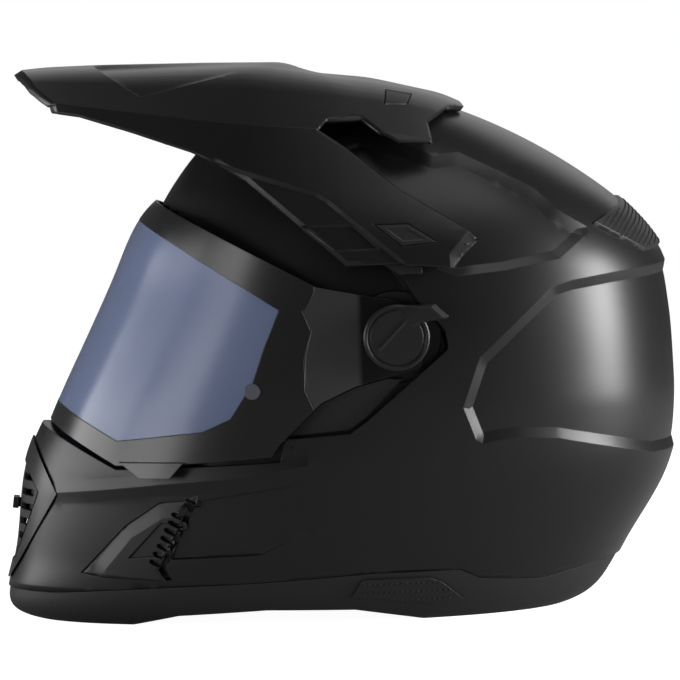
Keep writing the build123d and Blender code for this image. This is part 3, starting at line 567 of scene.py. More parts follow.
def voxel_copy(node, voxel, shrink=1.0):
    """A node's solid as an even mesh, set in towards its middle."""
    mesh = NODES[node].data.copy()
    work = bmesh.new()
    work.from_mesh(mesh)
    bmesh.ops.remove_doubles(work, verts=work.verts, dist=MERGE_GAP)
    low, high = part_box(node)
    middle = (low + high) / 2
    for vert in work.verts:
        vert.co = middle + (vert.co - middle) * shrink
    work.to_mesh(mesh)
    work.free()
    mesh.materials.clear()
    piece = in_scene(node + "_soft", mesh)
    remesh = piece.modifiers.new("even", "REMESH")
    remesh.mode = "VOXEL"
    remesh.voxel_size = voxel
    even = bpy.data.meshes.new_from_object(piece.evaluated_get(bpy.context.evaluated_depsgraph_get()))
    piece.modifiers.clear()
    piece.data = even
    return piece


lining = lining_cloth("lining_cloth", LINING_GREY, 650.0, 0.25)
crown = voxel_copy("comfort_liner", LINING_VOXEL)
work = bmesh.new()
work.from_mesh(crown.data)
bmesh.ops.smooth_vert(work, verts=work.verts, factor=0.5, use_axis_x=True, use_axis_y=True, use_axis_z=True)
work.normal_update()
crown_low, crown_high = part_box("comfort_liner")
crown_middle = (crown_low + crown_high) / 2
for vert in work.verts:
    inward = (crown_middle - vert.co).normalized()
    if vert.normal.dot(inward) > CHANNEL_FACING:
        across = abs(sin(pi * vert.co.y / CHANNEL_PITCH)) ** CHANNEL_POWER
        vert.co -= vert.normal * CHANNEL_DEPTH * (1.0 - across)
work.to_mesh(crown.data)
work.free()
crown.data.materials.append(lining)
crown.data.shade_smooth()
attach(crown, "helmet")
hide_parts("comfort_liner")


# Cheek pads and neck roll: foam pads in a sewn cloth cover, held to the shell by snaps.
# Each is swollen a little by pressure from a slightly smaller start.
PAD_VOXEL = 0.0045
PAD_START_SHARE = 0.97
PAD_SWELL_MOST = 0.003
PAD_PRESSURE = 4.0
PAD_FRAMES = 14


def stuffed(node):
    """A cover swollen by its filling, from the node's solid."""
    piece = voxel_copy(node, PAD_VOXEL, PAD_START_SHARE)
    before = [v.co.copy() for v in piece.data.vertices]
    cloth = piece.modifiers.new("filling", "CLOTH")
    cloth.settings.use_pressure = True
    cloth.settings.uniform_pressure_force = PAD_PRESSURE
    cloth.settings.effector_weights.gravity = 0.0
    cloth.settings.quality = 4
    cloth.point_cache.frame_start = 1
    cloth.point_cache.frame_end = PAD_FRAMES
    for step in range(1, PAD_FRAMES + 1):
        bpy.context.scene.frame_set(step)
    shaped = piece.evaluated_get(bpy.context.evaluated_depsgraph_get()).to_mesh()
    for vert, start, made in zip(piece.data.vertices, before, shaped.vertices):
        move = made.co - start
        if move.length > PAD_SWELL_MOST:
            move = move.normalized() * PAD_SWELL_MOST
        vert.co = start + move
    piece.modifiers.remove(cloth)
    bpy.context.scene.frame_set(1)
    even = piece.modifiers.new("cover", "SUBSURF")
    even.levels = even.render_levels = 1
    piece.data.materials.append(lining)
    piece.data.shade_smooth()
    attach(piece, "helmet")
    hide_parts(node)
    return piece


for node in ("cheek_pad_left", "cheek_pad_right", "neck_roll"):
    stuffed(node)


# Rim, eye port bead and breath guard: extruded and moulded black rubber, pressed onto the shell's edges.
# The rubber is duller than the shell.
RUBBER_BLACK = (0.013, 0.013, 0.013)

rubber = moulded_plastic("rim_rubber", RUBBER_BLACK, 0.55, 900.0, 0.00004)
for node in ("bottom_trim", "eye_port_gasket", "breath_guard"):
    moulding(node, "helmet", rubber)


# Chin curtain: a sheet of mesh cloth stretched across the opening under the chin.
# It is tacked to the rim all round its front and hemmed at its free rear edge.
CURTAIN_FRONT, CURTAIN_REAR, CURTAIN_HALF, CURTAIN_HEIGHT = -0.1755, -0.109, 0.073, 0.0104
CURTAIN_POWER, CURTAIN_AREA, CURTAIN_THICK, CURTAIN_DIP = 2.2, 0.00667, 0.0007, 0.0004
CURTAIN_ACROSS, CURTAIN_LONG, CURTAIN_END = 60, 16, 0.998

work = bmesh.new()
rows = []
for k in range(CURTAIN_ACROSS + 1):
    across = 2 * CURTAIN_END * k / CURTAIN_ACROSS - CURTAIN_END
    front = CURTAIN_FRONT + (CURTAIN_REAR - CURTAIN_FRONT) * abs(across) ** CURTAIN_POWER
    row = []
    for m in range(CURTAIN_LONG + 1):
        s = m / CURTAIN_LONG
        dip = CURTAIN_DIP * sin(pi * (across + 1) / 2) * s
        x = front + (CURTAIN_REAR - front) * s
        row.append(work.verts.new((x, across * CURTAIN_HALF, CURTAIN_HEIGHT - dip)))
    rows.append(row)
for row, following in zip(rows, rows[1:]):
    for m in range(CURTAIN_LONG):
        work.faces.new((row[m], row[m + 1], following[m + 1], following[m]))
curtain = skin_piece(work, "curtain_cloth", lining_cloth("curtain_mesh", (0.016, 0.016, 0.017), 900.0, 0.1),
                     CURTAIN_THICK, SMOOTH_ANGLE)
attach(curtain, "helmet")
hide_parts("chin_curtain")


# Mouth vent: a satin frame round a louvred cover, with a finger slider that runs in the cover's slot.
# The frame's edges are polished, so they catch the light, and a sheet of filter foam lies behind the louvres.
frame_finish = moulded_plastic("vent_frame_satin", (0.018, 0.018, 0.019), 0.3, 1500.0, 0.00001)
moulding("mouth_vent_frame", "helmet", frame_finish, edge_width=0.0009)
trim_finish = moulded_plastic("trim_black", (0.011, 0.011, 0.0115), 0.46, 1400.0, 0.00004)
moulding("mouth_vent_cover", "helmet", trim_finish)
moulding("mouth_vent_slider", "vent_slider", trim_finish, edge_width=0.0006)
FILTER_IN, FILTER_SIDE_IN, FILTER_WALL, FILTER_OVERLAP = 0.0082, 0.0042, 0.001, 0.003
SLIDER_HALF, SLIDER_ROOM = 0.009, 0.012
filter_line = moved_in(side_outline(MESH_SHARES), -FILTER_OVERLAP)
work = smooth_shell.copy()
score(work, filter_line)
trim_away(work, filter_line, keep_inside=True)
for vert, normal in with_normals(work):
    aside = clamped((abs(vert.co.y) - SLIDER_HALF) / SLIDER_ROOM)
    vert.co -= Vector((normal.x, 0, normal.z)).normalized() * (FILTER_IN + (FILTER_SIDE_IN - FILTER_IN) * aside)
both_halves(work)
filter_foam = bead_foam("filter_foam", (0.008, 0.008, 0.008))
vent_filter = skin_piece(work, "mouth_vent_filter", filter_foam, FILTER_WALL, radians(30))
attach(vent_filter, "helmet")


# Side scoops and side plates: separately moulded trims, clipped into pockets of the shell.
# Each scoop follows the shell's own curve, stands a little proud of it and has a row of cut teeth at its rear.
SCOOP_RISE, SCOOP_SINK, SCOOP_WALL, SCOOP_BEVEL = 0.0026, 0.0006, 0.0014, 0.007
SCOOP_TOP_SHARES = [
    (-0.7, 0.108), (-0.622, 0.17), (-0.535, 0.207), (-0.49, 0.21), (-0.472, 0.195), (-0.38, 0.195), (-0.38, 0.0),
    (-0.5, 0.0), (-0.515, 0.09), (-0.7, 0.1)]
SCOOP_BODY_SHARES = [
    (-0.775, 0.1), (-0.645, 0.19), (-0.545, 0.235), (-0.462, 0.2385), (-0.468, 0.222), (-0.552, 0.109),
    (-0.532, 0.089), (-0.72, 0.093)]
SCOOP_PANEL_SHARES = [(-0.64, 0.13), (-0.545, 0.198), (-0.49, 0.196), (-0.545, 0.135)]
SCOOP_PANEL_STEP, SCOOP_LINE_SLOPE = 0.0012, 0.0005
TOOTH_COUNT, FIRST_TOOTH_SHARE, TOOTH_WIDE, TOOTH_LONG, TOOTH_DEEP = 7, 0.08, 0.0027, 0.0066, 0.0029
TOOTH_FORM = [(-1, -0.3), (1, -0.3), (1, 0.7), (0.75, 0.9), (0.3, 1), (-0.3, 1), (-0.75, 0.9), (-1, 0.7)]

scoop_line, scoop_top = side_outline(SCOOP_BODY_SHARES), side_outline(SCOOP_TOP_SHARES)
mouth_end, chin_end = scoop_line[4], scoop_line[5]
tooth_run = (chin_end - mouth_end).normalized()
tooth_in = Vector((tooth_run.y, -tooth_run.x))
for side, turned in (("left", 1), ("right", -1)):
    scoop = smooth_shell.copy()
    score(scoop, scoop_line)
    score(scoop, scoop_top)
    score(scoop, moved_in(scoop_top, -SCOOP_BEVEL))
    trim_away(scoop, scoop_line, keep_inside=True)
    for vert, normal in with_normals(scoop):
        down = clamped(-depth_inside(scoop_top, vert.co.x, vert.co.z) / SCOOP_BEVEL)
        vert.co += normal * (SCOOP_RISE * (1.0 - down) - SCOOP_SINK)
    sink(scoop, side_outline(SCOOP_PANEL_SHARES), SCOOP_PANEL_STEP, SCOOP_LINE_SLOPE)
    for tooth in range(TOOTH_COUNT):
        share = FIRST_TOOTH_SHARE + (1.0 - FIRST_TOOTH_SHARE) * (tooth + 0.5) / TOOTH_COUNT
        middle = mouth_end + tooth_run * (chin_end - mouth_end).length * share
        corners = [middle + tooth_run * TOOTH_WIDE / 2 * across + tooth_in * TOOTH_LONG * into
                   for across, into in TOOTH_FORM]
        sink(scoop, corners, TOOTH_DEEP, SCOOP_LINE_SLOPE)
    on_side(scoop, turned)
    piece = skin_piece(scoop, "scoop_" + side, trim_finish, SCOOP_WALL, FACET_ANGLE)
    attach(piece, "helmet")
    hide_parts("side_scoop_" + side)
    moulding("side_plate_" + side, "helmet", trim_finish)


# Rear vent and rim plates: moulded trims like the scoops, with a field of small grip studs on their faces.
# The studs are moulded in one with each trim, in rows, and stop at its border.
VENT_SHARES = [
    (0.695, 0.725), (0.804, 0.757), (0.86, 0.8), (1.1, 0.8), (1.1, 0.662), (0.955, 0.672), (0.863, 0.664)]
VENT_RISE, VENT_SINK, VENT_EDGE, VENT_WALL = 0.0024, 0.0008, 0.0014, 0.003
STUD_PITCH, STUD_RADIUS, STUD_HIGH, STUD_SIDES, STUD_BORDER = 0.0026, 0.00078, 0.00045, 6, 0.0026
STUD_TOP_SHARE, STUD_REACH = 0.7, 0.2
VENT_FIELD, VENT_FIELD_CENTRE, VENT_FIELD_TURN = (0.08, 0.16), (0.2, 0.0, 0.25), radians(45)
PLATE_FIELD, PLATE_FIELD_FORWARD, PLATE_FIELD_OUT = (0.046, 0.0095), 0.001, 0.13

vent_line = side_outline(VENT_SHARES)
vent = smooth_shell.copy()
score(vent, vent_line)
score(vent, moved_in(vent_line, VENT_EDGE))
score(vent, moved_in(vent_line, STUD_BORDER))
trim_away(vent, vent_line, keep_inside=True)
for vert, normal in with_normals(vent):
    inside = clamped(depth_inside(vent_line, vert.co.x, vert.co.z) / VENT_EDGE)
    vert.co += normal * (VENT_RISE * inside - VENT_SINK)
both_halves(vent)
stud_bed = vent.copy()
trim_away(stud_bed, moved_in(vent_line, STUD_BORDER), keep_inside=True)
rear_vent = skin_piece(vent, "rear_vent_cover", trim_finish, VENT_WALL, FACET_ANGLE)
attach(rear_vent, "helmet")
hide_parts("rear_vent")
smooth_shell.free()

stud_tree = bpy.data.node_groups.new("grip_studs", "GeometryNodeTree")
for label, kind in (("Bed", "NodeSocketObject"), ("Centre", "NodeSocketVector"), ("Turn", "NodeSocketRotation"),
                    ("Inwards", "NodeSocketVector"), ("Long", "NodeSocketFloat"), ("Wide", "NodeSocketFloat"),
                    ("Pitch", "NodeSocketFloat"), ("Radius", "NodeSocketFloat"), ("Height", "NodeSocketFloat")):
    stud_tree.interface.new_socket(label, in_out="INPUT", socket_type=kind)
stud_tree.interface.new_socket("Studs", in_out="OUTPUT", socket_type="NodeSocketGeometry")
nodes, wires = stud_tree.nodes, stud_tree.links
sizes, studs_out = nodes.new("NodeGroupInput"), nodes.new("NodeGroupOutput")
grid, turned_grid = nodes.new("GeometryNodeMeshGrid"), nodes.new("GeometryNodeTransform")
for label, side_socket, count_socket in (("Long", "Size X", "Vertices X"), ("Wide", "Size Y", "Vertices Y")):
    count = nodes.new("ShaderNodeMath")
    count.operation = "DIVIDE"
    wires.new(sizes.outputs[label], count.inputs[0])
    wires.new(sizes.outputs["Pitch"], count.inputs[1])
    wires.new(count.outputs[0], grid.inputs[count_socket])
    wires.new(sizes.outputs[label], grid.inputs[side_socket])
wires.new(grid.outputs["Mesh"], turned_grid.inputs["Geometry"])
wires.new(sizes.outputs["Centre"], turned_grid.inputs["Translation"])
wires.new(sizes.outputs["Turn"], turned_grid.inputs["Rotation"])
bed, drop = nodes.new("GeometryNodeObjectInfo"), nodes.new("GeometryNodeRaycast")
missed = nodes.new("FunctionNodeBooleanMath")
wires.new(sizes.outputs["Bed"], bed.inputs["Object"])
wires.new(bed.outputs["Geometry"], drop.inputs["Target Geometry"])
wires.new(sizes.outputs["Inwards"], drop.inputs["Ray Direction"])
drop.inputs["Ray Length"].default_value = STUD_REACH
missed.operation = "NOT"
wires.new(drop.outputs["Is Hit"], missed.inputs[0])
kept = nodes.new("GeometryNodeDeleteGeometry")
wires.new(turned_grid.outputs["Geometry"], kept.inputs["Geometry"])
wires.new(missed.outputs["Boolean"], kept.inputs["Selection"])
stud, upright = nodes.new("GeometryNodeMeshCone"), nodes.new("FunctionNodeAlignRotationToVector")
stud.inputs["Vertices"].default_value = STUD_SIDES
shoulder = nodes.new("ShaderNodeMath")
shoulder.operation = "MULTIPLY"
shoulder.inputs[1].default_value = STUD_TOP_SHARE
wires.new(sizes.outputs["Radius"], shoulder.inputs[0])
wires.new(shoulder.outputs[0], stud.inputs["Radius Top"])
wires.new(sizes.outputs["Radius"], stud.inputs["Radius Bottom"])
wires.new(sizes.outputs["Height"], stud.inputs["Depth"])
wires.new(drop.outputs["Hit Normal"], upright.inputs["Vector"])
planted, seated = nodes.new("GeometryNodeInstanceOnPoints"), nodes.new("GeometryNodeSetPosition")
wires.new(kept.outputs["Geometry"], planted.inputs["Points"])
wires.new(stud.outputs["Mesh"], planted.inputs["Instance"])
wires.new(upright.outputs["Rotation"], planted.inputs["Rotation"])
wires.new(planted.outputs["Instances"], seated.inputs["Geometry"])
wires.new(drop.outputs["Hit Position"], seated.inputs["Position"])
real, coated = nodes.new("GeometryNodeRealizeInstances"), nodes.new("GeometryNodeSetMaterial")
wires.new(seated.outputs["Geometry"], real.inputs["Geometry"])
wires.new(real.outputs["Geometry"], coated.inputs["Geometry"])
coated.inputs["Material"].default_value = trim_finish
wires.new(coated.outputs["Geometry"], studs_out.inputs["Studs"])


def grip_studs(name, bed, centre, turn, inwards, field):
    """A field of small moulded studs, standing on a skin."""
    holder = in_scene(name, bpy.data.meshes.new(name))
    rule = holder.modifiers.new("grip_studs", "NODES")
    rule.node_group = stud_tree
    given = {"Bed": bed, "Centre": centre, "Turn": turn, "Inwards": inwards, "Long": field[0], "Wide": field[1],
             "Pitch": STUD_PITCH, "Radius": STUD_RADIUS, "Height": STUD_HIGH}
    for socket in stud_tree.interface.items_tree:
        if socket.in_out == "INPUT":
            rule[socket.identifier] = given[socket.name]
    made = bpy.data.meshes.new_from_object(holder.evaluated_get(bpy.context.evaluated_depsgraph_get()))
    holder.modifiers.remove(rule)
    holder.data = made
    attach(holder, "helmet")
    return holder


bed_mesh = bpy.data.meshes.new("stud_bed")
stud_bed.to_mesh(bed_mesh)
stud_bed.free()
bed_piece = in_scene("stud_bed", bed_mesh)
bpy.context.view_layer.update()
grip_studs("rear_vent_studs", bed_piece, VENT_FIELD_CENTRE, (0.0, VENT_FIELD_TURN, 0.0),
           (-0.7, 0.0, -0.7), VENT_FIELD)
bpy.data.objects.remove(bed_piece)
for side, turned in (("left", 1), ("right", -1)):
    plate = moulding("rim_plate_" + side, "helmet", trim_finish)
    low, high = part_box("rim_plate_" + side)
    centre = ((low.x + high.x) / 2 - PLATE_FIELD_FORWARD, -PLATE_FIELD_OUT * turned, (low.z + high.z) / 2)
    bpy.context.view_layer.update()
    grip_studs("rim_plate_studs_" + side, plate, centre, (radians(90) * turned, 0.0, 0.0),
               (0.0, 1.0 * turned, 0.0), PLATE_FIELD)


# Shield pivots: a base with a boss, screwed into each shell pocket, and the quick-release disc with its lever.
# The disc is moulded in satin black, with a turned groove, and the slash on it shows which way it points.
lever_finish = moulded_plastic("lever_satin", (0.012, 0.012, 0.0125), 0.36, 1200.0, 0.00003, edge=0.0009)
DISC_FACE = 0.131
DISC_PROFILE = [(0.0174, -0.008), (0.0174, -0.0016), (0.0167, -0.0009), (0.0155, -0.0009), (0.0151, -0.0017),
                (0.0143, -0.0017), (0.0139, -0.0011), (0.0, -0.0011)]
DISC_SIDES = 72
LEVER_FOOT = [(0.0024, 0.0172), (0.012, 0.0168), (0.0207, 0.0172), (0.0277, 0.0106), (0.0263, 0.0093),
              (0.0207, 0.0083), (0.0152, 0.0075), (0.007, 0.0052), (0.0, 0.0085)]
LEVER_TOP = [(0.0095, 0.016), (0.012, 0.0157), (0.0183, 0.0156), (0.0238, 0.0104), (0.0234, 0.0101),
             (0.0204, 0.0094), (0.0149, 0.0086), (0.0115, 0.0081), (0.0092, 0.0095)]
LEVER_LEVELS, LEVER_CREASE = (-0.0046, -0.0017, 0.0), radians(20)
SLASH_START, SLASH_END = Vector((-0.0098, -0.0062)), Vector((0.0062, 0.0102))
SLASH_HALVES, SLASH_LEVELS = (0.0009, 0.0003), (-0.0012, -0.0005)


def level_ring(work, turned, places, level):
    """One closed line of the disc or the lever, at a level above or below the disc's face."""
    out = -turned * (DISC_FACE + level)
    return [work.verts.new((PIVOT_PLACE.x + x, out, PIVOT_PLACE.y + z)) for x, z in places]


def walls(work, rings):
    """The faces between one line and the next, closed at both ends."""
    for lower, upper in zip(rings, rings[1:]):
        for k in range(len(lower)):
            following = (k + 1) % len(lower)
            work.faces.new((lower[k], lower[following], upper[following], upper[k]))
    work.faces.new(rings[0][::-1])
    work.faces.new(rings[-1])


slash_run = (SLASH_END - SLASH_START).normalized()
slash_across = Vector((-slash_run.y, slash_run.x))
slash_rings = []
for half, level in zip(SLASH_HALVES, SLASH_LEVELS):
    wide, short = slash_across * half, slash_run * (SLASH_HALVES[0] - half)
    slash_rings.append(([SLASH_START - wide + short, SLASH_END - wide - short,
                         SLASH_END + wide - short, SLASH_START + wide + short], level))
for side, turned in (("left", 1), ("right", -1)):
    moulding("pivot_base_" + side, "helmet", trim_finish)
    work = bmesh.new()
    circle = unit_circle(DISC_SIDES)
    walls(work, [level_ring(work, turned, [(x * radius, z * radius) for x, z in circle], level)
                 for radius, level in DISC_PROFILE[:-1]])
    walls(work, [level_ring(work, turned, places, level)
                 for places, level in zip((LEVER_FOOT, LEVER_FOOT, LEVER_TOP), LEVER_LEVELS)])
    walls(work, [level_ring(work, turned, places, level) for places, level in slash_rings])
    bmesh.ops.recalc_face_normals(work, faces=work.faces)
    mesh = bpy.data.meshes.new("quick_release_" + side)
    work.to_mesh(mesh)
    work.free()
    mesh.materials.append(lever_finish)
    mesh.shade_smooth()
    mesh.set_sharp_from_angle(angle=LEVER_CREASE)
    release = in_scene("quick_release_" + side, mesh)
    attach(release, "lever_" + side)
    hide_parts("pivot_lever_" + side)


# Shield: a dark glossy frame and arms round a blue-grey tinted window, with an anti-fog insert on two pins.
# Frame and arms are the same clear sheet, printed black behind.
FRAME_BLACK = (0.012, 0.012, 0.013)
WINDOW_TINT = (0.25, 0.3, 0.47)
INSERT_TINT = (0.93, 0.94, 0.97)
ARM_GREY, ARM_PRINT, ARM_PRINT_EDGE = (0.04, 0.04, 0.042), (0.0015, 0.0015, 0.0016, 1), (0.0035, 0.0065)


def tinted_sheet(name, tint, rough, ior, clear):
    """Clear polycarbonate, dyed through."""
    material, nodes, wires, surface = paint(name)
    surface.inputs["Transmission Weight"].default_value = clear
    surface.inputs["IOR"].default_value = ior
    haze = shader(nodes, "TexNoise", {"Scale": 9.0})
    wires.new(nodes.new("ShaderNodeTexCoord").outputs["Object"], haze.inputs["Vector"])
    smears = shader(nodes, "MapRange", {"To Min": rough, "To Max": rough + 0.02})
    wires.new(haze.outputs["Fac"], smears.inputs["Value"])
    wires.new(smears.outputs["Result"], surface.inputs["Roughness"])
    wires.new(tinted(nodes, wires, haze.outputs["Fac"], tint, 0.97, 1.03), surface.inputs["Base Color"])
    return material


shield_gloss = moulded_plastic("shield_gloss", FRAME_BLACK, 0.26, 60.0, 0.00001, edge=0.0006, shine=0.5)
moulding("shield_frame", "shield", shield_gloss)
arm_gloss = moulded_plastic("arm_gloss", ARM_GREY, 0.2, 60.0, 0.00001, edge=0.0006, shine=0.5)
nodes, wires = arm_gloss.node_tree.nodes, arm_gloss.node_tree.links
place = nodes.new("ShaderNodeSeparateXYZ")
wires.new(nodes["Texture Coordinate"].outputs["Object"], place.inputs[0])
printed = nodes.new("ShaderNodeMapRange")
printed.inputs["From Min"].default_value, printed.inputs["From Max"].default_value = ARM_PRINT_EDGE
wires.new(place.outputs["X"], printed.inputs["Value"])
print_mix = nodes.new("ShaderNodeMix")
print_mix.data_type = "RGBA"
print_mix.inputs["B"].default_value = ARM_PRINT
wires.new(printed.outputs["Result"], print_mix.inputs["Factor"])
wires.new(nodes["Mix"].outputs["Result"], print_mix.inputs["A"])
wires.new(print_mix.outputs["Result"], nodes["Principled BSDF"].inputs["Base Color"])
for side in ("left", "right"):
    moulding("shield_arm_" + side, "shield", arm_gloss)
moulding("shield_window", "shield", tinted_sheet("tinted_window", WINDOW_TINT, 0.2, 1.38, 0.5))
moulding("shield_insert", "shield", tinted_sheet("clear_insert", INSERT_TINT, 0.02, 1.1, 1.0))
pin_finish = moulded_plastic("pin_plastic", (0.1, 0.105, 0.12), 0.25, 800.0, 0.00001)
moulding("shield_pins", "shield", pin_finish)


# Peak: one moulded visor with a wing at each side, a badge plate on each wing and plugs over its top fixings.
# It is sprayed the same matt black as the shell, and its facets run into each other without hard corners.
PEAK_BLACK = (0.0062, 0.0062, 0.0068)
PEAK_WALL = 0.003
PEAK_STATION_SHARES = [
    (-0.96, 1.037, 0.5, 0.995, 0.53, 0.93, 0.55, 0.86), (-0.84, 1.045, 0.6, 0.978, 0.64, 0.91, 0.67, 0.84),
    (-0.675, 1.047, 0.68, 0.965, 0.74, 0.89, 0.79, 0.82), (-0.372, 1.046, 0.79, 0.935, 0.89, 0.8, 0.945, 0.72),
    (-0.133, 1.043, 0.85, 0.92, 0.995, 0.76, 1.045, 0.63), (-0.064, 1.022, 0.85, 0.917, 1.015, 0.73, 1.045, 0.63),
    (0.106, 1.009, 0.82, 0.91, 1.032, 0.72, 1.045, 0.63), (0.32, 0.974, 0.75, 0.885, 1.018, 0.72, 1.045, 0.63),
    (0.45, 0.931, 0.69, 0.855, 1.0, 0.72, 1.045, 0.63)]
ARCH_SHARE, ARCH_DROP_SHARE = 0.5, 0.14
CROWN_SOFT_SHARE, FLANK_SOFT_SHARE, CORNER_SOFT = 0.03, 0.12, 0.3
PEAK_COLUMNS, CROWN_ROWS, FLANK_ROWS = 92, 34, 26
PEAK_CUT_SHARES = [
    (-1.2, 0.3), (-1.2, 0.99), (-0.8, 0.957), (-0.735, 0.95), (-0.595, 0.92), (-0.425, 0.88), (-0.355, 0.857),
    (-0.28, 0.826), (-0.125, 0.735), (-0.008, 0.665), (0.145, 0.665), (0.295, 0.655), (0.378, 0.71),
    (0.315, 0.737), (0.15, 0.805), (0.015, 0.878), (-0.068, 0.916),
    (-0.04, 0.934), (0.06, 0.934), (0.11, 0.906), (0.155, 0.888), (0.255, 0.885), (0.25, 0.922),
    (0.318, 0.948), (0.372, 0.948), (0.385, 1.2), (0.6, 1.2), (0.6, 0.3)]
PEAK_FRONT_SHARES = [
    (0.0, -0.926), (0.5, -0.922), (1.0, -0.909), (1.5, -0.884), (1.8, -0.853), (2.0, -0.825), (3.0, -0.8),
    (4.0, -0.775)]
FRONT_LIP, FRONT_LIP_DROP, LIP_FADE_TURN = 0.0046, 0.0022, 3.2
RIM_BREAK, RIM_BREAK_DROP = 0.0011, 0.0006
WING_FRONT_SHARES = [(-0.37, 0.9), (-0.37, 0.8), (0.03, 0.6), (0.03, 0.69), (-0.25, 0.87)]
WING_FRONT_BREAK, WING_FRONT_DROP = 0.003, 0.0012
CROWN_POCKET_SHARES, CROWN_POCKET_END_SHARE = [(-0.733, 1.06), (-0.563, 0.983), (-0.032, 1.06)], -0.287
CROWN_POCKET_DEPTH, CROWN_POCKET_SLOPE, CROWN_POCKET_GAP, CROWN_POCKET_POWER = 0.0026, 0.0009, 0.008, 0.7
WING_RIDGE_SHARES = [
    (-0.4, 0.872), (-0.327, 0.855), (-0.08, 0.803), (-0.048, 0.789), (0.146, 0.679), (0.17, 0.655),
    (0.17, 0.6), (-0.4, 0.6)]
WING_RIDGE_STEP, WING_RIDGE_SLOPE = 0.0014, 0.0024
ARM_PANEL_SHARES = [(-0.13, 0.742), (0.018, 0.742), (0.092, 0.695), (-0.04, 0.693)]
ARM_PANEL_STEP, ARM_PANEL_SLOPE = 0.0011, 0.0009
TIP_FACET_SHARES = [(0.282, 0.6), (0.282, 0.684), (0.335, 0.723), (0.42, 0.76), (0.42, 0.6)]
TIP_FACET_SLOPE, TIP_FACET_DROP = 0.0095, 0.0036
WING_TIP_CORNER, TIP_CLEAN = 12, 0.0045
BADGE_SHARES = [(0.075, 0.74), (0.17, 0.74), (0.25, 0.705), (0.15, 0.7)]
PLUG_SHARES = [(0.13, 0.957), (0.14, 0.983), (0.215, 0.973), (0.195, 0.955)]
PLATE_POCKET, PLATE_SEAM, PLATE_PROUD, PLATE_WALL = 0.0011, 0.0003, 0.0003, 0.0012
BADGE_BORDER, BADGE_STEP, BADGE_SLOPE = 0.0022, 0.0004, 0.0004


def visor_corner(along, turn):
    """The visor's straight-sided form: a place along it, and round its half section from crown to foot."""
    index = sum(1 for station in PEAK_STATION_SHARES[1:-1] if along > station[0])
    before, after = PEAK_STATION_SHARES[index:index + 2]
    s = (along - before[0]) / (after[0] - before[0])
    crown, crease_y, crease_z, flank_y, flank_z, foot_y, foot_z = (
        a + (b - a) * s for a, b in zip(before[1:], after[1:]))
    shoulder = (ARCH_SHARE * crease_y, crown - ARCH_DROP_SHARE * (crown - crease_z))
    line = [(0.0, crown), shoulder, (crease_y, crease_z), (flank_y, flank_z), (foot_y, foot_z)]
    part = min(int(abs(turn)), 3)
    t = abs(turn) - part
    (y_a, z_a), (y_b, z_b) = line[part], line[part + 1]
    y = (y_a + (y_b - y_a) * t) * (1 if turn >= 0 else -1)
    return Vector((along * SHELL_LONG, -y * SHELL_WIDE, (z_a + (z_b - z_a) * t) * SHELL_TALL))


def visor_point(along, turn):
    """A point of the visor's face, with every corner softened but the crease between crown and flank."""
    soft_turn = min(CORNER_SOFT, abs(2.0 - turn), 4.0 - turn)
    soft_along = CROWN_SOFT_SHARE + (FLANK_SOFT_SHARE - CROWN_SOFT_SHARE) * min(1.0, turn)
    total = Vector((0, 0, 0))
    for k in (-1.0, -0.5, 0.0, 0.5, 1.0):
        for m in (-1.0, -0.5, 0.0, 0.5, 1.0):
            total += visor_corner(along + k * soft_along, turn + m * soft_turn)
    return total / 25


def front_share(turn):
    """How far back the visor's front edge lies at a place round its section."""
    for (turn_a, x_a), (turn_b, x_b) in zip(PEAK_FRONT_SHARES, PEAK_FRONT_SHARES[1:]):
        if turn <= turn_b:
            return x_a + (x_b - x_a) * (turn - turn_a) / (turn_b - turn_a)
    return PEAK_FRONT_SHARES[-1][1]


work = bmesh.new()
last = PEAK_STATION_SHARES[-1][0]
turns = [2.0 * row / CROWN_ROWS for row in range(CROWN_ROWS)]
turns += [2.0 + 2.0 * row / FLANK_ROWS for row in range(FLANK_ROWS + 1)]
lip_share = FRONT_LIP / SHELL_LONG / (last - PEAK_FRONT_SHARES[0][1])
ribs = []
for column in range(-1, PEAK_COLUMNS + 1):
    s = 0.0 if column < 0 else lip_share + (1.0 - lip_share) * column / PEAK_COLUMNS
    ribs.append([work.verts.new(visor_point(front_share(turn) + (last - front_share(turn)) * s, turn))
                 for turn in turns])
for rib, following in zip(ribs, ribs[1:]):
    for row in range(CROWN_ROWS + FLANK_ROWS):
        work.faces.new((rib[row + 1], following[row + 1], following[row], rib[row]))
work.normal_update()
plain_skin = work.copy()
for vert, turn in zip(ribs[0], turns):
    vert.co -= vert.normal * FRONT_LIP_DROP * clamped(LIP_FADE_TURN - turn)

cut_line = side_outline(PEAK_CUT_SHARES)
wing_front = side_outline(WING_FRONT_SHARES)
score(work, cut_line)
score(work, moved_in(cut_line, -RIM_BREAK))
score(work, moved_in(cut_line, -WING_FRONT_BREAK))
trim_away(work, cut_line)
for vert, normal in with_normals(work):
    from_cut = -depth_inside(cut_line, vert.co.x, vert.co.z)
    if depth_inside(wing_front, vert.co.x, vert.co.z) > 0:
        lip = WING_FRONT_DROP * max(0.0, 1.0 - from_cut / WING_FRONT_BREAK)
    else:
        lip = RIM_BREAK_DROP * max(0.0, 1.0 - from_cut / RIM_BREAK)
    vert.co -= normal * lip

crown_pocket = side_outline(CROWN_POCKET_SHARES)
pocket_front, pocket_rear = crown_pocket[0].x, CROWN_POCKET_END_SHARE * SHELL_LONG


def crown_fade(place):
    """The crown's pockets run out to nothing at the rear, and leave the middle of the crown plain."""
    middle = clamped((abs(place.y) - CROWN_POCKET_GAP) / CROWN_POCKET_GAP)
    return middle * clamped((pocket_rear - place.x) / (pocket_rear - pocket_front)) ** CROWN_POCKET_POWER


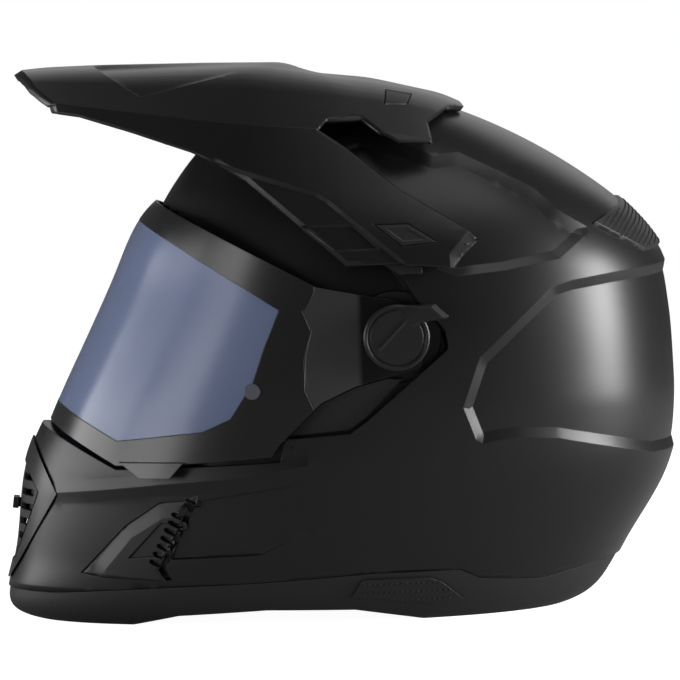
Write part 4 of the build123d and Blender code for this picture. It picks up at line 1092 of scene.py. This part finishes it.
sink(work, crown_pocket, CROWN_POCKET_DEPTH, CROWN_POCKET_SLOPE, crown_fade)
sink(work, side_outline(WING_RIDGE_SHARES), WING_RIDGE_STEP, WING_RIDGE_SLOPE)
sink(work, side_outline(ARM_PANEL_SHARES), ARM_PANEL_STEP, ARM_PANEL_SLOPE)
sink(work, side_outline(TIP_FACET_SHARES), TIP_FACET_DROP, TIP_FACET_SLOPE, foot_line=False)
for shares in (BADGE_SHARES, PLUG_SHARES):
    sink(work, moved_in(side_outline(shares), -PLATE_SEAM), PLATE_POCKET, PLATE_SEAM)
tip = cut_line[WING_TIP_CORNER]
near_tip = [vert for vert in work.verts if (Vector((vert.co.x, vert.co.z)) - tip).length < TIP_CLEAN]
bmesh.ops.remove_doubles(work, verts=near_tip, dist=0.2 * TIP_CLEAN)
both_halves(work)
peak_paint = moulded_plastic("matt_peak", PEAK_BLACK, 0.36, 1800.0, 0.00003)
peak_skin = skin_piece(work, "peak_skin", peak_paint, PEAK_WALL, FACET_ANGLE)
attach(peak_skin, "peak_body")
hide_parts("peak")

badge_finish = moulded_plastic("badge_satin", (0.016, 0.016, 0.017), 0.34, 900.0, 0.00004)
for part, shares, finish, slot in (("badge", BADGE_SHARES, badge_finish, "badge"),
                                   ("plug", PLUG_SHARES, trim_finish, "trim")):
    corners = side_outline(shares)
    for side, turned in (("left", 1), ("right", -1)):
        plate = plain_skin.copy()
        score(plate, corners)
        score(plate, moved_in(corners, 2 * PLATE_SEAM))
        trim_away(plate, corners, keep_inside=True)
        if part == "badge":
            sink(plate, moved_in(corners, BADGE_BORDER), BADGE_STEP, BADGE_SLOPE)
        plate.normal_update()
        for vert in plate.verts:
            inside = clamped(depth_inside(corners, vert.co.x, vert.co.z) / (2 * PLATE_SEAM))
            vert.co += vert.normal * PLATE_PROUD * (2 * inside - 1)
        on_side(plate, turned)
        piece = skin_piece(plate, "peak_" + part + "_plate_" + side, finish, PLATE_WALL, FACET_ANGLE)
        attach(piece, "peak_body")
        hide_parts("peak_" + part + "_" + side)
plain_skin.free()
for side in ("left", "right"):
    moulding("peak_mount_" + side, "helmet", trim_finish)
moulding("peak_screws", "helmet", lever_finish)


# Chin strap: two lengths of nylon webbing, each held by a steel anchor inside the rim.
# They meet under the chin at a pair of steel rings.
webbing = lining_cloth("strap_webbing", (0.014, 0.014, 0.015), 1100.0, 0.15)
ring_steel, _, _, steel_surface = paint("ring_steel")
steel_surface.inputs["Metallic"].default_value = 1.0
steel_surface.inputs["Roughness"].default_value = 0.28
steel_surface.inputs["Base Color"].default_value = (0.55, 0.55, 0.56, 1)
for side in ("left", "right"):
    moulding("strap_" + side, "helmet", webbing)
    moulding("strap_anchor_" + side, "helmet", ring_steel)
moulding("strap_rings", "helmet", ring_steel)
